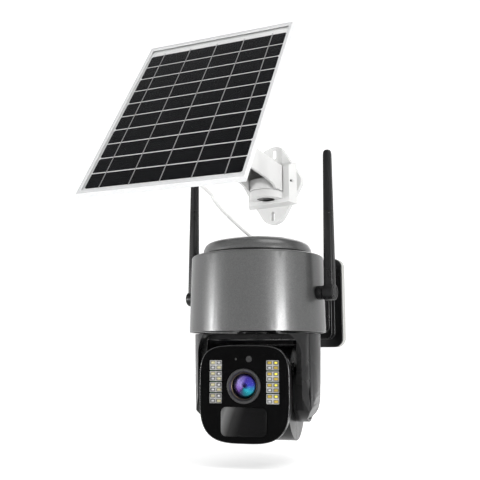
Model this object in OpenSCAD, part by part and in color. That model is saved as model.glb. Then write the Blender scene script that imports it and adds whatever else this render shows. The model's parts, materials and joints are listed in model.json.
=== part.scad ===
// Solar powered pan and tilt security camera with its wall bracket, solar panel,
// panel bracket and panel lead. Millimetres, +Z up. The wall is the plane Y = 0 and
// everything stands out of it towards -Y. The origin is the centre of the camera's
// wall plate, on its back face.

/* [Camera housing] */
// Distance from the wall to the pan axis
axis_d = 119; // [112:1:126]
// Outer radius of the housing at its lower rim
housing_r = 65.2; // [64:0.2:66]
// Height of the housing's lower rim
housing_z0 = -34.5; // [-35:0.5:-34]
// Height of the housing's shoulder
housing_z1 = 38; // [37.5:0.5:39]
// Wall thickness of the housing
housing_wall = 2.5; // [2:0.1:3]

/* [Wall bracket] */
// Width of the wall plate
plate_w = 76; // [74:1:80]
// Height of the wall plate
plate_h = 95; // [92:1:98]
// Thickness of the wall plate
plate_t = 6.5; // [6:0.5:7]

/* [Camera head] */
// Angle by which the head is turned away from the wall's normal
pan_rest = 17.6; // [0:0.1:30]
// Height of the tilt axis
tilt_z = -89.4; // [-90:0.2:-89]
// Half width of the face plate
face_hw = 41; // [40:0.5:42]
// Half height of the face plate
face_hh = 42.5; // [42:0.5:43]

/* [Solar panel] */
// Width of the panel
panel_w = 166; // [164:1:168]
// Length of the panel up its slope
panel_l = 232; // [230:1:234]
// Thickness of the panel's frame
panel_t = 6; // [5.5:0.5:7]
// Turn of the arm and its panel about the swivel axis
panel_turn = 9.8; // [5:0.1:12]
// Height angle of the panel's normal above the horizon
panel_rise = 33.7; // [30:0.1:38]

/* [Panel bracket] */
// Sideways place of the bracket on the wall
mount_x = -48; // [-50:1:-46]
// Height of the bracket's centre on the wall
mount_z = 140.5; // [139:0.5:142]
// Height of the rhombic base
mount_h = 94; // [90:1:98]
// Width of the rhombic base
mount_w = 75; // [72:1:78]
// Distance from the wall to the swivel axis
swivel_y = 22; // [21:0.5:23]

/* [Panel lead] */
// Diameter of the lead
lead_d = 3.5; // [3.2:0.1:3.8]

/* [Hidden] */
$fn = 96;
gap = 0.3;
run = 0.05;

// Wall bracket
plate_r = 10;
flange_t = 2.5;
flange_y = plate_t + flange_t;
pedestal_w = 58;
pedestal_h = 78;
pedestal_y = 16;
arm_w = 52;
arm_z0 = -32;
arm_z1 = 34;
pad_y = 52;
screw_x = 27;
screw_z = 36;
set_screws = [36.5, -35.5];

// Housing
shoulder_r = housing_r - 1.4;
opening_r = 49;
floor_z = housing_z0 + 1;
floor_t = 3;
floor_r = 62.5;
bearing_ro = 23.5;
bearing_ri = 17.5;
bearing_h = 6;
antenna_z = 1;
antenna_x = 77.2;
stub_r = 6.4;
pin_r = 2.5;

// Gears
pan_m = 1;
pan_teeth = 48;
pinion_teeth = 12;
pan_gear_z = -26.5;
pan_gear_t = 5;
tilt_m = 0.7;
tilt_teeth = 40;
gear_slack = 0.2;
pan_pinion_x = -(pan_teeth + pinion_teeth) * pan_m / 2 - gear_slack;
pan_motor_x = pan_pinion_x - 8;
pan_motor_z = -16;
tilt_pinion_dz = (tilt_teeth + pinion_teeth) * tilt_m / 2 + gear_slack;

// Yoke and head
yoke_r = 60;
yoke_z0 = -116;
yoke_z1 = housing_z0 - 1.5;
seam_x = 54;
arch_hw = 48.5;
arch_top = -33;
arch_r = 22;
crown_t = 5;
cover_floor = -88;
cheek_hw = 42.2;
apron_z = -52;
apron_y = 46.5;
apron_r = 53;
arm_floor = 50;
boss_r = 27;
boss_x = 38.5;
drum_r = 44;
drum_hw = 37.6;
face_y = 52;
face_t = 2.5;
split_y = -6;
axle_r = 5;
lens_z = -82.5;
lens_r = 15.5;
glass_r = 11.2;
led_x = 26;
led_w = 11.4;
led_h = 8.6;
led_z0 = -64.3;
led_pitch = 9.67;
pir_z = -113.2;
pir_w = 42;
pir_h = 25.5;
bay_a = 50;
bay_w = 28;
bay_hh = 11.5;
bay_floor = 36;
press = 0.8;

// Panel
lip_side = 3.4;
lip_end = 5;
lip_t = 1.2;
rail_t = 1.5;
cell_w = 156.8;
cell_h = 19;
cell_gap = 2;
cell_rows = 10;
glass_z = -1.2;
laminate_z = -4;
glass_t = 1.1;
ribbon_t = 0.1;
cell_t = 0.25;
cell_z = glass_z - glass_t - ribbon_t - cell_t;
margin_low = 9;
hinge_x = 15.5;
hinge_drop = 34;

// Panel bracket
base_t = 6.5;
slot_r = 2.3;
slot_l = 11;
slot_z = 37.5;
disc_z = 120;
disc_t = 8.5;
disc_r = 18;
hub_z0 = disc_z + disc_t + gap;
hub_z1 = 159;
hub_r = 19.5;
neck_y = 16;
neck_z0 = 116;
neck_z1 = 159;
arm_len = 112;
tilt_y = 131.4;
pivot_z = 166;
hub_floor = 12;
lug_w = 15;
fork_y = 113;

clip_z = 38;
clip_h = 8;
socket_a = 128;
socket_z = 13;
plug_r = 4.5;
plug_end = 96;
cap_z0 = housing_z1 + 2.6;
cap_z1 = 55.5;
screw_seat = 5;
board_z = 12;
post_places = [[-42, -28], [48, -20], [-12, -52]];
cell_angles = [27, 54, 81, 108];
sensor_z = -59;
board_y = 46;
box_x = -30;
box_y = 40;
gland_y = 20;
gland_z = laminate_z - 6;
coil_x = -70;
coil_y = 15;
coil_r = 22;

// ---------------------------------------------------------------- helpers

// Moves local camera coordinates to the pan axis
module at_axis() translate([0, -axis_d, 0]) children();

// Moves yoke and head coordinates to their rest angle on the pan axis
module at_pan() at_axis() rotate([0, 0, pan_rest]) children();

// Moves service bay coordinates, +y outwards through the head's back
module at_bay()
  translate([0, 0, tilt_z]) rotate([-bay_a, 0, 0]) children();

// Moves panel coordinates, x across, y up the slope, z out of the glass
module at_panel()
  at_swivel()
    translate([0, -tilt_y, pivot_z])
      rotate([90 - panel_rise, 0, 0])
        translate([-hinge_x, 0, hinge_drop])
          children();

// Moves arm coordinates: origin on the swivel axis at height 0, -y along the arm
module at_swivel()
  translate([mount_x, -swivel_y, 0])
    rotate([0, 0, panel_turn])
      children();

// Turns a 2D outline in x and z into a slab between two depths, y0 < y1
module upright(y0, y1)
  translate([0, y1, 0]) rotate([90, 0, 0]) linear_extrude(y1 - y0) children();

// Cylinder along x between two places
module along_x(r, x0, x1, fn = 96)
  translate([x0, 0, 0]) rotate([0, 90, 0]) cylinder(r = r, h = x1 - x0, $fn = fn);

// Cylinder along y between two places
module along_y(r, y0, y1, fn = 48)
  translate([0, y1, 0]) rotate([90, 0, 0]) cylinder(r = r, h = y1 - y0, $fn = fn);

// Rounded rectangle centred on the origin
module rounded(w, h, r) {
  square([w, h - 2 * r], center = true);
  square([w - 2 * r, h], center = true);
  for (x = [-1, 1], y = [-1, 1])
    translate([x * (w / 2 - r), y * (h / 2 - r)]) circle(r);
}

// Ring between two radii
module ring(r0, r1, z0, z1)
  translate([0, 0, z0])
    difference() {
      cylinder(r = r1, h = z1 - z0);
      translate([0, 0, -1]) cylinder(r = r0, h = z1 - z0 + 2);
    }

function sgn(v) = v < 0 ? -1 : 1;

// Point of a superellipse with its own powers above and below the middle
function face_point(a, hw, hh) =
  let (c = cos(a), s = sin(a), p = s > 0 ? 4.4 : 3.3)
    [hw * sgn(c) * pow(abs(c), 2 / p), hh * sgn(s) * pow(abs(s), 2 / p)];

// Outline of the face: arched above, rounder below
module face_outline(hw, hh)
  polygon([for (a = [0:5:355]) face_point(a, hw, hh)]);

// Gear outline with straight sided teeth, a tooth on the +x axis if phase is 0
function tooth(r, m, n, side, lift) =
  let (half = 90 / n - 8.5 / r, slope = 18 * m / r)
    side * (half - slope * lift);

module gear_outline(n, m, phase = 0) {
  r = n * m / 2;
  rise = 0.8;
  drop = 1.1;
  polygon([
    for (i = [0:n - 1])
      for (p = [[-1, -drop], [-1, rise], [1, rise], [1, -drop]])
        let (a = 360 * i / n + phase + tooth(r, m, n, p[0], p[1]), q = r + p[1] * m)
          [q * cos(a), q * sin(a)]
  ]);
}

// Countersunk or pan head screw standing on z = 0 with its shank below
module screw(head_r, head_h, shank_r, shank_l) {
  difference() {
    cylinder(r = head_r, h = head_h, $fn = 32);
    for (a = [0, 90])
      rotate([0, 0, a]) translate([0, 0, head_h]) cube([head_r * 1.2, 0.6, head_h], center = true);
  }
  translate([0, 0, -shank_l]) cylinder(r = shank_r, h = shank_l, $fn = 32);
}

// ---------------------------------------------------------------- wall bracket

// Light grey plate that is screwed to the wall
module wall_plate()
  color([0.66, 0.66, 0.64])
    difference() {
      upright(-plate_t, 0) rounded(plate_w, plate_h, plate_r);
      for (x = [-1, 1], z = [-1, 1])
        translate([x * screw_x, 0, z * screw_z]) {
          along_y(2.3, -plate_t - 1, 1);
          along_y(4.4, -plate_t - 1, -plate_t + 2.6);
        }
      for (z = set_screws)
        translate([0, 0, z]) along_y(1.2, -plate_t - 1, -1);
    }

// Black bracket: flange, stepped pedestal and the arm that meets the housing
module wall_bracket()
  color([0.06, 0.06, 0.06])
    difference() {
      union() {
        upright(-flange_y, -plate_t) rounded(plate_w, plate_h, plate_r);
        upright(-pedestal_y, -flange_y) rounded(pedestal_w, pedestal_h, 7);
        translate([0, 0, (arm_z0 + arm_z1) / 2])
          upright(-pad_y, -pedestal_y) rounded(arm_w, arm_z1 - arm_z0, 6);
      }
      upright(-pedestal_y + 2.5, 0)
        difference() {
          rounded(pedestal_w - 6, pedestal_h - 6, 5);
          for (z = set_screws) translate([0, z]) circle(3.5, $fn = 32);
        }
      translate([0, 0, (arm_z0 + arm_z1) / 2])
        upright(-pad_y + 5, 0)
          rounded(arm_w - 6, arm_z1 - arm_z0 - 6, 4);
      for (z = set_screws)
        translate([0, 0, z]) {
          along_y(1.3, -pedestal_y - 1, 0, 24);
          along_y(2.3, -pedestal_y - 1, -pedestal_y + 1.6, 32);
        }
      for (x = [-1, 1], z = [-1, 1])
        translate([x * 19, 0, z * 22 + 1]) along_y(1.4, -pad_y - 1, -pad_y + 6);
    }

// Screws of the bracket: two to the wall plate and four from the housing into the arm
module bracket_screws()
  color([0.6, 0.6, 0.62]) {
    for (z = set_screws)
      translate([0, -pedestal_y + 1.6, z])
        rotate([90, 0, 0]) screw(2.2, 1.4, 1.2, pedestal_y - 3.4);
    for (x = [-1, 1], z = [-1, 1])
      translate([x * 19, -pad_y - screw_seat, z * 22 + 1])
        rotate([90, 0, 0]) screw(2.6, 1.8, 1.4, 10);
  }

// Clip screwed on the bracket's flange; it holds the lead in line with the swivel axis
module cable_clip()
  color([0.08, 0.08, 0.08])
    difference() {
      translate([0, 0, clip_z - clip_h / 2])
        linear_extrude(clip_h)
          difference() {
            union() {
              translate([mount_x, -swivel_y]) circle(lead_d / 2 + 2, $fn = 48);
              polygon([
                [mount_x + 1, -swivel_y - 3], [mount_x + 4, -swivel_y - 3], [-37, -flange_y - 2],
                [-30.5, -flange_y - 2], [-30.5, -flange_y], [-37.5, -flange_y], [mount_x + 1, -swivel_y + 3]
              ]);
            }
            translate([mount_x, -swivel_y]) circle(lead_d / 2 + run, $fn = 48);
          }
      translate([-33.5, 0, clip_z]) along_y(1, -20, 0, 24);
    }

// ---------------------------------------------------------------- housing

// Grey cup shaped shell with a pad for the bracket and holes for the fittings
module housing_shell()
  color([0.42, 0.42, 0.41])
    at_axis()
      difference() {
        union() {
          rotate_extrude()
            polygon([
              [housing_r - housing_wall, housing_z0], [housing_r, housing_z0],
              [housing_r, housing_z0 + 3], [shoulder_r, housing_z1 - 2],
              [shoulder_r - 0.6, housing_z1 - 0.6], [shoulder_r - 2, housing_z1],
              [opening_r, housing_z1 + 0.8], [opening_r, housing_z1 - 1.6],
              [shoulder_r - housing_wall - 0.6, housing_z1 - 2.4]
            ]);
          difference() {
            translate([-28, 50, arm_z0]) cube([56, axis_d - pad_y - 50, arm_z1 - arm_z0]);
            translate([0, 0, -50]) cylinder(r = floor_r + 0.2, h = 100);
          }
        }
        for (x = [-1, 1], z = [-1, 1])
          translate([x * 19, 0, z * 22 + 1]) {
            along_y(1.7, 50, 70);
            along_y(3, 50, axis_d - pad_y - screw_seat);
          }
        for (s = [0, 180]) rotate([0, 0, s]) translate([0, 0, antenna_z]) along_x(4, 55, 70, 48);
        rotate([0, 0, socket_a]) translate([0, 0, socket_z]) along_x(6, 55, 70, 48);
      }

// Lid with a domed top that closes the housing
module housing_cap()
  color([0.44, 0.44, 0.43])
    at_axis()
      difference() {
        rotate_extrude()
          polygon([
            [0, cap_z1], [14, cap_z1 - 0.2], [26, cap_z1 - 0.8], [36, cap_z1 - 1.7],
            [44, cap_z1 - 3.2], [48.5, cap_z1 - 5.2], [51, cap_z1 - 7.8],
            [52.4, cap_z1 - 11], [52.6, cap_z0], [opening_r - 0.2, cap_z0],
            [opening_r - 0.2, housing_z1 - 2.5], [opening_r - 2.2, housing_z1 - 2.5],
            [opening_r - 2.2, cap_z0 + 3], [47, cap_z1 - 8.5], [40, cap_z1 - 5], [0, cap_z1 - 2.6]
          ]);
        for (a = [45:90:315])
          rotate([0, 0, a])
            translate([opening_r - 1.2, 0, housing_z1 - 4]) cylinder(r = 0.7, h = 6, $fn = 24);
      }

// Dark ring that seals the lid on the shoulder
module cap_gasket()
  color([0.1, 0.1, 0.1])
    at_axis() ring(opening_r, 51.4, housing_z1 + 0.8, cap_z0);

// Round floor that carries the pan bearing
module housing_floor()
  color([0.08, 0.08, 0.08])
    at_axis()
      difference() {
        union() {
          ring(bearing_ro, floor_r, floor_z, floor_z + floor_t);
          ring(bearing_ro, bearing_ro + 2.2, floor_z, floor_z + bearing_h);
          for (y = [-1, 1])
            translate([pan_motor_x, y * 17.5, floor_z])
              cylinder(r = 3.2, h = pan_motor_z - floor_z, $fn = 32);
          for (p = post_places)
            translate([p[0], p[1], floor_z]) cylinder(r = 2.6, h = board_z - floor_z, $fn = 32);
        }
        for (a = [22:45:340])
          rotate([0, 0, a]) translate([55, 0, floor_z - 1]) cylinder(r = 1.4, h = 6, $fn = 24);
        for (i = [-2:2])
          translate([18 + i * 4, -44, floor_z - 1]) cylinder(r = 1.1, h = 6, $fn = 24);
      }

// Ball bearing that the yoke's hub turns in
module pan_bearing()
  color([0.7, 0.7, 0.72])
    at_axis() ring(bearing_ri, bearing_ro, floor_z, floor_z + bearing_h);

// Stepper motor that drives the pan pinion
module pan_motor()
  color([0.75, 0.75, 0.77])
    at_axis()
      difference() {
        union() {
          translate([pan_motor_x, 0, pan_motor_z]) cylinder(r = 14, h = 19);
          translate([pan_pinion_x, 0, pan_motor_z - 1.5]) cylinder(r = 4.5, h = 3, $fn = 48);
          translate([pan_motor_x, 0, pan_motor_z])
            linear_extrude(1) {
              square([7, 35], center = true);
              for (y = [-1, 1]) translate([0, y * 17.5]) circle(3.5, $fn = 32);
            }
        }
        translate([pan_pinion_x, 0, pan_motor_z - 2]) cylinder(r = 2.5 + run, h = 12, $fn = 48);
        for (y = [-1, 1])
          translate([pan_motor_x, y * 17.5, pan_motor_z - 2]) cylinder(r = 1.7, h = 6, $fn = 24);
      }

// Brass pinion on the motor's shaft
module pan_pinion()
  color([0.75, 0.6, 0.3])
    at_axis()
      translate([pan_pinion_x, 0, 0]) {
        translate([0, 0, pan_gear_z])
          linear_extrude(pan_gear_t) gear_outline(pinion_teeth, pan_m);
        translate([0, 0, pan_gear_z]) cylinder(r = 2.5, h = pan_motor_z + 9 - pan_gear_z, $fn = 48);
      }

// Half round circuit board with the shielded radio and the subscriber card's tray
module main_board()
  color([0.05, 0.3, 0.15])
    at_axis()
      translate([0, 0, board_z]) {
        difference() {
          linear_extrude(1.6)
            intersection() {
              circle(56);
              translate([-60, -60]) square([120, 66]);
            }
          for (p = post_places) translate([p[0], p[1], -1]) cylinder(r = 1.3, h = 4, $fn = 24);
        }
        translate([-34, -34, 1.6]) cube([30, 26, 3]);
        difference() {
          translate([6, -34, 1.6]) cube([18, 20, 2]);
          translate([8, -35, 2.1]) cube([14, 18, 0.9]);
        }
      }

// Four rechargeable cells that stand at the back of the housing
module battery_cells()
  color([0.1, 0.35, 0.6])
    at_axis()
      for (a = cell_angles)
        rotate([0, 0, a]) translate([46.5, 0, floor_z + floor_t + 1]) cylinder(r = 9.1, h = 64);

// Tray with a cup for each cell
module battery_tray()
  color([0.12, 0.12, 0.12])
    at_axis()
      difference() {
        union() {
          for (a = cell_angles)
            rotate([0, 0, a]) translate([46.5, 0, floor_z + floor_t]) cylinder(r = 10.5, h = 14);
        }
        for (a = cell_angles)
          rotate([0, 0, a]) translate([46.5, 0, floor_z + floor_t + 1]) cylinder(r = 9.1, h = 14);
      }

// Loudspeaker that talks through holes in the floor
module speaker()
  color([0.15, 0.15, 0.16])
    at_axis()
      translate([18, -44, floor_z + floor_t])
        rotate_extrude()
          polygon([[0, 1.2], [8, 0.4], [9, 0], [12, 0], [12, 2.4], [7, 7], [0, 7]]);

// Round power inlet at the back of the housing
module power_socket()
  color([0.1, 0.1, 0.1])
    at_axis() rotate([0, 0, socket_a]) translate([0, 0, socket_z])
      difference() {
        union() {
          along_x(6, 54, housing_r + 1.5, 48);
          along_x(7.5, 54, 60, 48);
        }
        along_x(plug_r, 56, 80, 48);
      }

// Fixed half of an antenna joint: flange, thread and pivot pin
module antenna_base(side)
  color([0.07, 0.07, 0.07])
    at_axis()
      rotate([0, 0, side > 0 ? 0 : 180])
        translate([0, 0, antenna_z]) {
          along_x(4, 57, housing_r + 1, 48);
          along_x(stub_r, housing_r, 71.4, 64);
          along_x(pin_r, 71, 80, 48);
          along_x(7, 57, 61.2, 6);
        }

module antenna_bases() {
  antenna_base(-1);
  antenna_base(1);
}

// Whip antenna: tapered square rod with soft edges on a round knuckle
module antenna(side)
  color([0.05, 0.05, 0.05])
    at_axis()
      difference() {
        union() {
          hull() {
            translate([side * antenna_x, 0, antenna_z]) linear_extrude(1) rounded(10, 9.4, 3, $fn = 32);
            translate([side * antenna_x, 0, 60]) linear_extrude(1) rounded(9, 8.6, 2.8, $fn = 32);
          }
          hull() {
            translate([side * antenna_x, 0, 60]) linear_extrude(1) rounded(9, 8.6, 2.8, $fn = 32);
            translate([side * antenna_x, 0, 131]) linear_extrude(1) rounded(7.6, 7.2, 2.6, $fn = 32);
            translate([side * antenna_x, 0, 134]) linear_extrude(0.8) rounded(4.4, 4.2, 2, $fn = 32);
          }
          translate([0, 0, antenna_z])
            along_x(7.4, side * antenna_x - 5, side * antenna_x + 5, 64);
        }
        translate([0, 0, antenna_z])
          along_x(pin_r + run, side * antenna_x - 9, side * antenna_x + 9, 48);
      }

module antenna_left() antenna(-1);
module antenna_right() antenna(1);

// ---------------------------------------------------------------- yoke

// Front outline of the yoke: straight sides that round in towards the bottom
module yoke_front()
  polygon([
    [-yoke_r, yoke_z1], [yoke_r, yoke_z1],
    for (a = [0:10:90]) [44 + 16 * cos(a), -70 - 45.5 * sin(a)],
    for (a = [90:-10:0]) [-44 - 16 * cos(a), -70 - 45.5 * sin(a)]
  ]);

// Side outline of the yoke: deep at the top, half round at the ends of the arms
module yoke_side() {
  polygon([
    [-60, yoke_z1], [-60, -46], [-46, -58], [-36, -72], [-35, -81],
    [35, -81], [36, -72], [46, -58], [60, -46], [60, yoke_z1]
  ]);
  translate([0, -81]) circle(35);
}

// Solid envelope of the yoke
module yoke_body()
  intersection() {
    translate([0, 0, yoke_z0]) cylinder(r1 = yoke_r - 1.6, r2 = yoke_r, h = yoke_z1 - yoke_z0);
    upright(-70, 70) yoke_front();
    rotate([0, 0, 90]) upright(-70, 70) yoke_side();
  }

// Arch the head stands in: wide and open up to the housing in front, narrower under a crown
// behind, with an apron that hangs from the crown's back
module yoke_arch() {
  upright(-80, -26) {
    translate([-arch_hw, -130]) square([2 * arch_hw, 130 + arch_top - arch_r]);
    translate([-arch_hw + arch_r, -130]) square([2 * (arch_hw - arch_r), 130 + arch_top]);
    for (x = [-1, 1]) translate([x * (arch_hw - arch_r), arch_top - arch_r]) circle(arch_r);
  }
  translate([-cheek_hw, -26.1, -130]) cube([2 * cheek_hw, 120, 130 + apron_z]);
  intersection() {
    translate([-cheek_hw, -26.1, apron_z - 1])
      cube([2 * cheek_hw, 26.1 + apron_y, 1 + yoke_z1 - crown_t - apron_z]);
    translate([0, 0, -130]) cylinder(r = apron_r, h = 130);
  }
}

// Turning frame: crown, hub, two arms and the bosses that carry the head
module yoke_frame()
  color([0.06, 0.06, 0.06])
    at_pan()
      difference() {
        union() {
          difference() {
            intersection() {
              yoke_body();
              translate([-seam_x, -70, -130]) cube([2 * seam_x, 140, 130]);
            }
            yoke_arch();
          }
          translate([0, 0, tilt_z])
            for (x = [-1, 1])
              along_x(boss_r, x > 0 ? boss_x : -arch_hw - 1, x > 0 ? arch_hw + 1 : -boss_x);
          translate([0, 0, yoke_z1 - 4]) cylinder(r = bearing_ri + 2.5, h = 4 + floor_z - yoke_z1 - 0.4);
          translate([0, 0, yoke_z1 - 4]) cylinder(r = bearing_ri - run, h = pan_gear_z - yoke_z1 + 4);
        }
        translate([0, 0, yoke_z1 - 10]) cylinder(r = 9, h = 40);
        translate([0, 0, tilt_z])
          for (x = [-1, 1]) {
            along_x(8, x > 0 ? 30 : -60, x > 0 ? 60 : -30, 48);
            along_x(boss_r - 2.5, x > 0 ? boss_x + 2.5 : -60, x > 0 ? 60 : -boss_x - 2.5);
          }
        for (x = [-1, 1])
          translate([x > 0 ? arm_floor : -60, -22, -84]) cube([60 - arm_floor, 44, 32]);
      }

// Outer cover of one arm
module yoke_cover(side)
  color([0.12, 0.12, 0.12])
    at_pan()
      difference() {
        intersection() {
          yoke_body();
          translate([side > 0 ? seam_x + 0.2 : -80, -70, -130]) cube([80 - seam_x - 0.2, 140, 130]);
        }
        difference() {
          translate([0, 0, -130]) cylinder(r = yoke_r - 3.4, h = 130 + yoke_z1 - 2.4);
          translate([-80, -70, -130]) cube([160, 140, 130 + cover_floor]);
        }
      }

module yoke_covers() {
  yoke_cover(-1);
  yoke_cover(1);
}

// Ring gear on top of the yoke's hub
module pan_gear()
  color([0.85, 0.84, 0.8])
    at_pan()
      translate([0, 0, pan_gear_z])
        difference() {
          linear_extrude(pan_gear_t) gear_outline(pan_teeth, pan_m, 180 - pan_rest + 180 / pan_teeth);
          translate([0, 0, -1]) cylinder(r = 9, h = 10);
        }

// Two plain bushes for the head's axles
module tilt_bearings()
  color([0.72, 0.72, 0.7])
    at_pan() translate([0, 0, tilt_z])
      for (x = [-1, 1])
        rotate([0, 0, x > 0 ? 0 : 180])
          rotate([0, 90, 0]) ring(axle_r + run, 8, boss_x - 0.4, boss_x + 2.5);

// Flat stepper motor in the pocket of the right arm, with its two ears
module tilt_motor()
  color([0.75, 0.75, 0.77])
    at_pan()
      difference() {
        union() {
          translate([0, 0, tilt_z + tilt_pinion_dz]) along_x(9.5, arm_floor, 55, 64);
          translate([arm_floor, -17, -63]) cube([1, 34, 7]);
        }
        translate([0, 0, tilt_z + tilt_pinion_dz]) along_x(1.5 + run, 40, 54, 32);
        for (y = [-1, 1]) translate([0, y * 14, -59.5]) along_x(1.3, 45, 60, 24);
      }

// Pinion on the tilt motor's shaft
module tilt_pinion()
  color([0.75, 0.6, 0.3])
    at_pan() translate([0, 0, tilt_z + tilt_pinion_dz]) {
      translate([42, 0, 0]) rotate([90, 0, 90])
        linear_extrude(3.4) gear_outline(pinion_teeth, tilt_m, 90);
      along_x(1.5, 42, 53.5, 32);
    }

// ---------------------------------------------------------------- head

// Head's outer form: a draughted front block and the drum that turns between the bosses
module head_form(s) {
  translate([0, 0, tilt_z]) along_x(drum_r - s, -drum_hw + s, drum_hw - s);
  difference() {
    hull() {
      translate([0, 0, tilt_z])
        upright(-face_y + face_t, -face_y + face_t + 4) face_outline(face_hw - s, face_hh - s);
      translate([0, 0, tilt_z]) upright(-30, -29) face_outline(face_hw - 2 - s, face_hh - 3 - s);
    }
    for (x = [-1, 1])
      translate([0, 0, tilt_z]) along_x(boss_r + 1 + s, x > 0 ? drum_hw - s : -60, x > 0 ? 60 : -drum_hw + s);
  }
}

// Front half of the head's case, open in front behind the face plate
module head_front_shell()
  color([0.08, 0.08, 0.08])
    at_pan()
      difference() {
        intersection() {
          head_form(0);
          translate([-60, -face_y + face_t, -150]) cube([120, face_y - face_t + split_y, 120]);
        }
        difference() {
          union() {
            head_form(2.4);
            translate([0, 0, tilt_z]) upright(-face_y, -face_y + 8) face_outline(face_hw - 4, face_hh - 4);
          }
          for (x = [-1, 1], z = [-1, 1])
            translate([x * 33, 0, tilt_z + z * 27]) along_y(3, split_y - 14, split_y, 24);
        }
        for (x = [-1, 1], z = [-1, 1])
          translate([x * 33, 0, tilt_z + z * 27]) along_y(1.2, split_y - 12, split_y + 1, 24);
        translate([0, 0, tilt_z]) along_x(axle_r, -60, 60, 48);
      }

// Rear half of the head's case, a half drum with a service bay low in its back
module head_rear_shell()
  color([0.08, 0.08, 0.08])
    at_pan()
      difference() {
        union() {
          intersection() {
            difference() {
              translate([0, 0, tilt_z]) along_x(drum_r, -drum_hw, drum_hw);
              translate([0, 0, tilt_z]) along_x(drum_r - 2.4, -drum_hw + 2.4, drum_hw - 2.4);
            }
            translate([-60, split_y, -150]) cube([120, 60, 120]);
          }
          at_bay()
            translate([-bay_w / 2 - 2, bay_floor - 2, -bay_hh - 2]) cube([bay_w + 4, 7, 2 * bay_hh + 4]);
          for (x = [-1, 1], z = [-1, 1])
            translate([x * 33, 0, tilt_z + z * 27]) along_y(3, split_y, split_y + 22, 24);
        }
        at_bay() {
          translate([-bay_w / 2, bay_floor, -bay_hh]) cube([bay_w, 12, 2 * bay_hh]);
          translate([7, 0, 0]) along_y(1.85 + run, bay_floor - 4, bay_floor + 1, 32);
          translate([-10.7, bay_floor - 4, -0.8]) cube([12, 6, 1.6]);
        }
        for (x = [-1, 1], z = [-1, 1])
          translate([x * 33, 0, tilt_z + z * 27]) along_y(1.2, split_y - 1, split_y + 18, 24);
        translate([0, 0, tilt_z]) along_x(axle_r, -60, 60, 48);
      }

// Gloss black front plate with windows for the lens, the lamps and the sensors
module face_plate()
  color([0.02, 0.02, 0.02])
    at_pan()
      difference() {
        translate([0, 0, tilt_z]) upright(-face_y, -face_y + face_t) face_outline(face_hw, face_hh);
        translate([0, 0, lens_z]) along_y(lens_r, -face_y - 1, -40, 64);
        for (x = [-1, 1])
          translate([x * led_x, 0, led_z0 - 1.5 * led_pitch])
            upright(-face_y - 1, -40) square([led_w, led_h + 3 * led_pitch], center = true);
        translate([0, 0, pir_z]) upright(-face_y - 1, -40) rounded(pir_w, pir_h, 5);
        translate([4.5, 0, sensor_z]) along_y(3, -face_y - 1, -40, 32);
        translate([-7.5, 0, sensor_z]) along_y(1.2, -face_y - 1, -40, 24);
      }

// Stub axles that carry the head in the yoke
module tilt_axles()
  color([0.7, 0.7, 0.72])
    at_pan() translate([0, 0, tilt_z])
      for (x = [-1, 1])
        rotate([0, 0, x > 0 ? 0 : 180]) {
          along_x(axle_r, drum_hw - 5, x > 0 ? 46 : 43, 48);
          along_x(axle_r + 3, drum_hw - 5, drum_hw - 2.4, 48);
        }

// Gear on the right axle
module tilt_gear()
  color([0.85, 0.84, 0.8])
    at_pan() translate([42, 0, tilt_z])
      difference() {
        rotate([90, 0, 90]) linear_extrude(3) gear_outline(tilt_teeth, tilt_m, 90 + 180 / tilt_teeth);
        along_x(axle_r, -1, 5, 48);
      }

// Dark ring around the lens
module lens_bezel()
  color([0.15, 0.15, 0.16])
    at_pan() translate([0, 0, lens_z])
      rotate([90, 0, 0])
        rotate_extrude()
          polygon([
            [glass_r, 44], [lens_r, 44], [lens_r, face_y + 0.6], [lens_r - 0.8, face_y + 1.2],
            [lens_r - 2.2, face_y + 1.2], [glass_r + 0.6, face_y - 1.4], [glass_r, face_y - 1.4]
          ]);

// Front element of the lens
module lens_glass()
  color([0.2, 0.15, 0.5, 0.5])
    at_pan() translate([0, 0, lens_z])
      intersection() {
        along_y(glass_r, -60, -face_y + 5.5, 64);
        translate([0, -face_y + 19.6, 0]) sphere(r = 21);
      }

// Barrel that holds the inner elements
module lens_barrel()
  color([0.1, 0.1, 0.1])
    at_pan() translate([0, 0, lens_z])
      rotate([90, 0, 0])
        rotate_extrude()
          polygon([
            [5.2, 26.4], [9, 26.4], [9, 40], [glass_r - 0.2, 41],
            [glass_r - 0.2, face_y - 5.6], [5.2, 40]
          ]);

// Board with the image sensor
module image_board()
  color([0.05, 0.3, 0.15])
    at_pan() {
      translate([-19, -26.4, lens_z - 17]) cube([38, 1.6, 34]);
      translate([-3.8, -27.6, lens_z - 3]) cube([7.6, 1.2, 6]);
    }

// Board behind the face plate with the motion sensor and the microphone
module front_board()
  color([0.05, 0.3, 0.15])
    at_pan()
      difference() {
        union() {
          translate([0, 0, tilt_z])
            upright(-board_y, -board_y + 1.6) face_outline(face_hw - 2.9, face_hh - 2.9);
          translate([0, 0, pir_z]) {
            along_y(4.2, -49.3, -47, 48);
            along_y(5, -47, -board_y, 48);
          }
          translate([-7.5, 0, sensor_z]) along_y(3, -face_y + face_t + 0.1, -board_y, 32);
        }
        translate([0, 0, lens_z]) along_y(lens_r + 0.2, -60, -30, 64);
      }

// Eight square lamp modules in two columns, each with four cells
module led_modules()
  color([0.85, 0.85, 0.84])
    at_pan()
      for (x = [-1, 1], i = [0:3])
        translate([x * led_x, 0, led_z0 - i * led_pitch])
          difference() {
            upright(-face_y + 0.5, -board_y) square([led_w, led_h], center = true);
            for (dx = [-1, 1], dz = [-1, 1])
              translate([dx * led_w / 4, 0, dz * led_h / 4])
                difference() {
                  upright(-face_y - 1, -face_y + 1.5)
                    square([led_w / 2 - 1.2, led_h / 2 - 1.2], center = true);
                  upright(-face_y + 0.9, -face_y + 2) square([2.6, 1.8], center = true);
                }
          }

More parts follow.
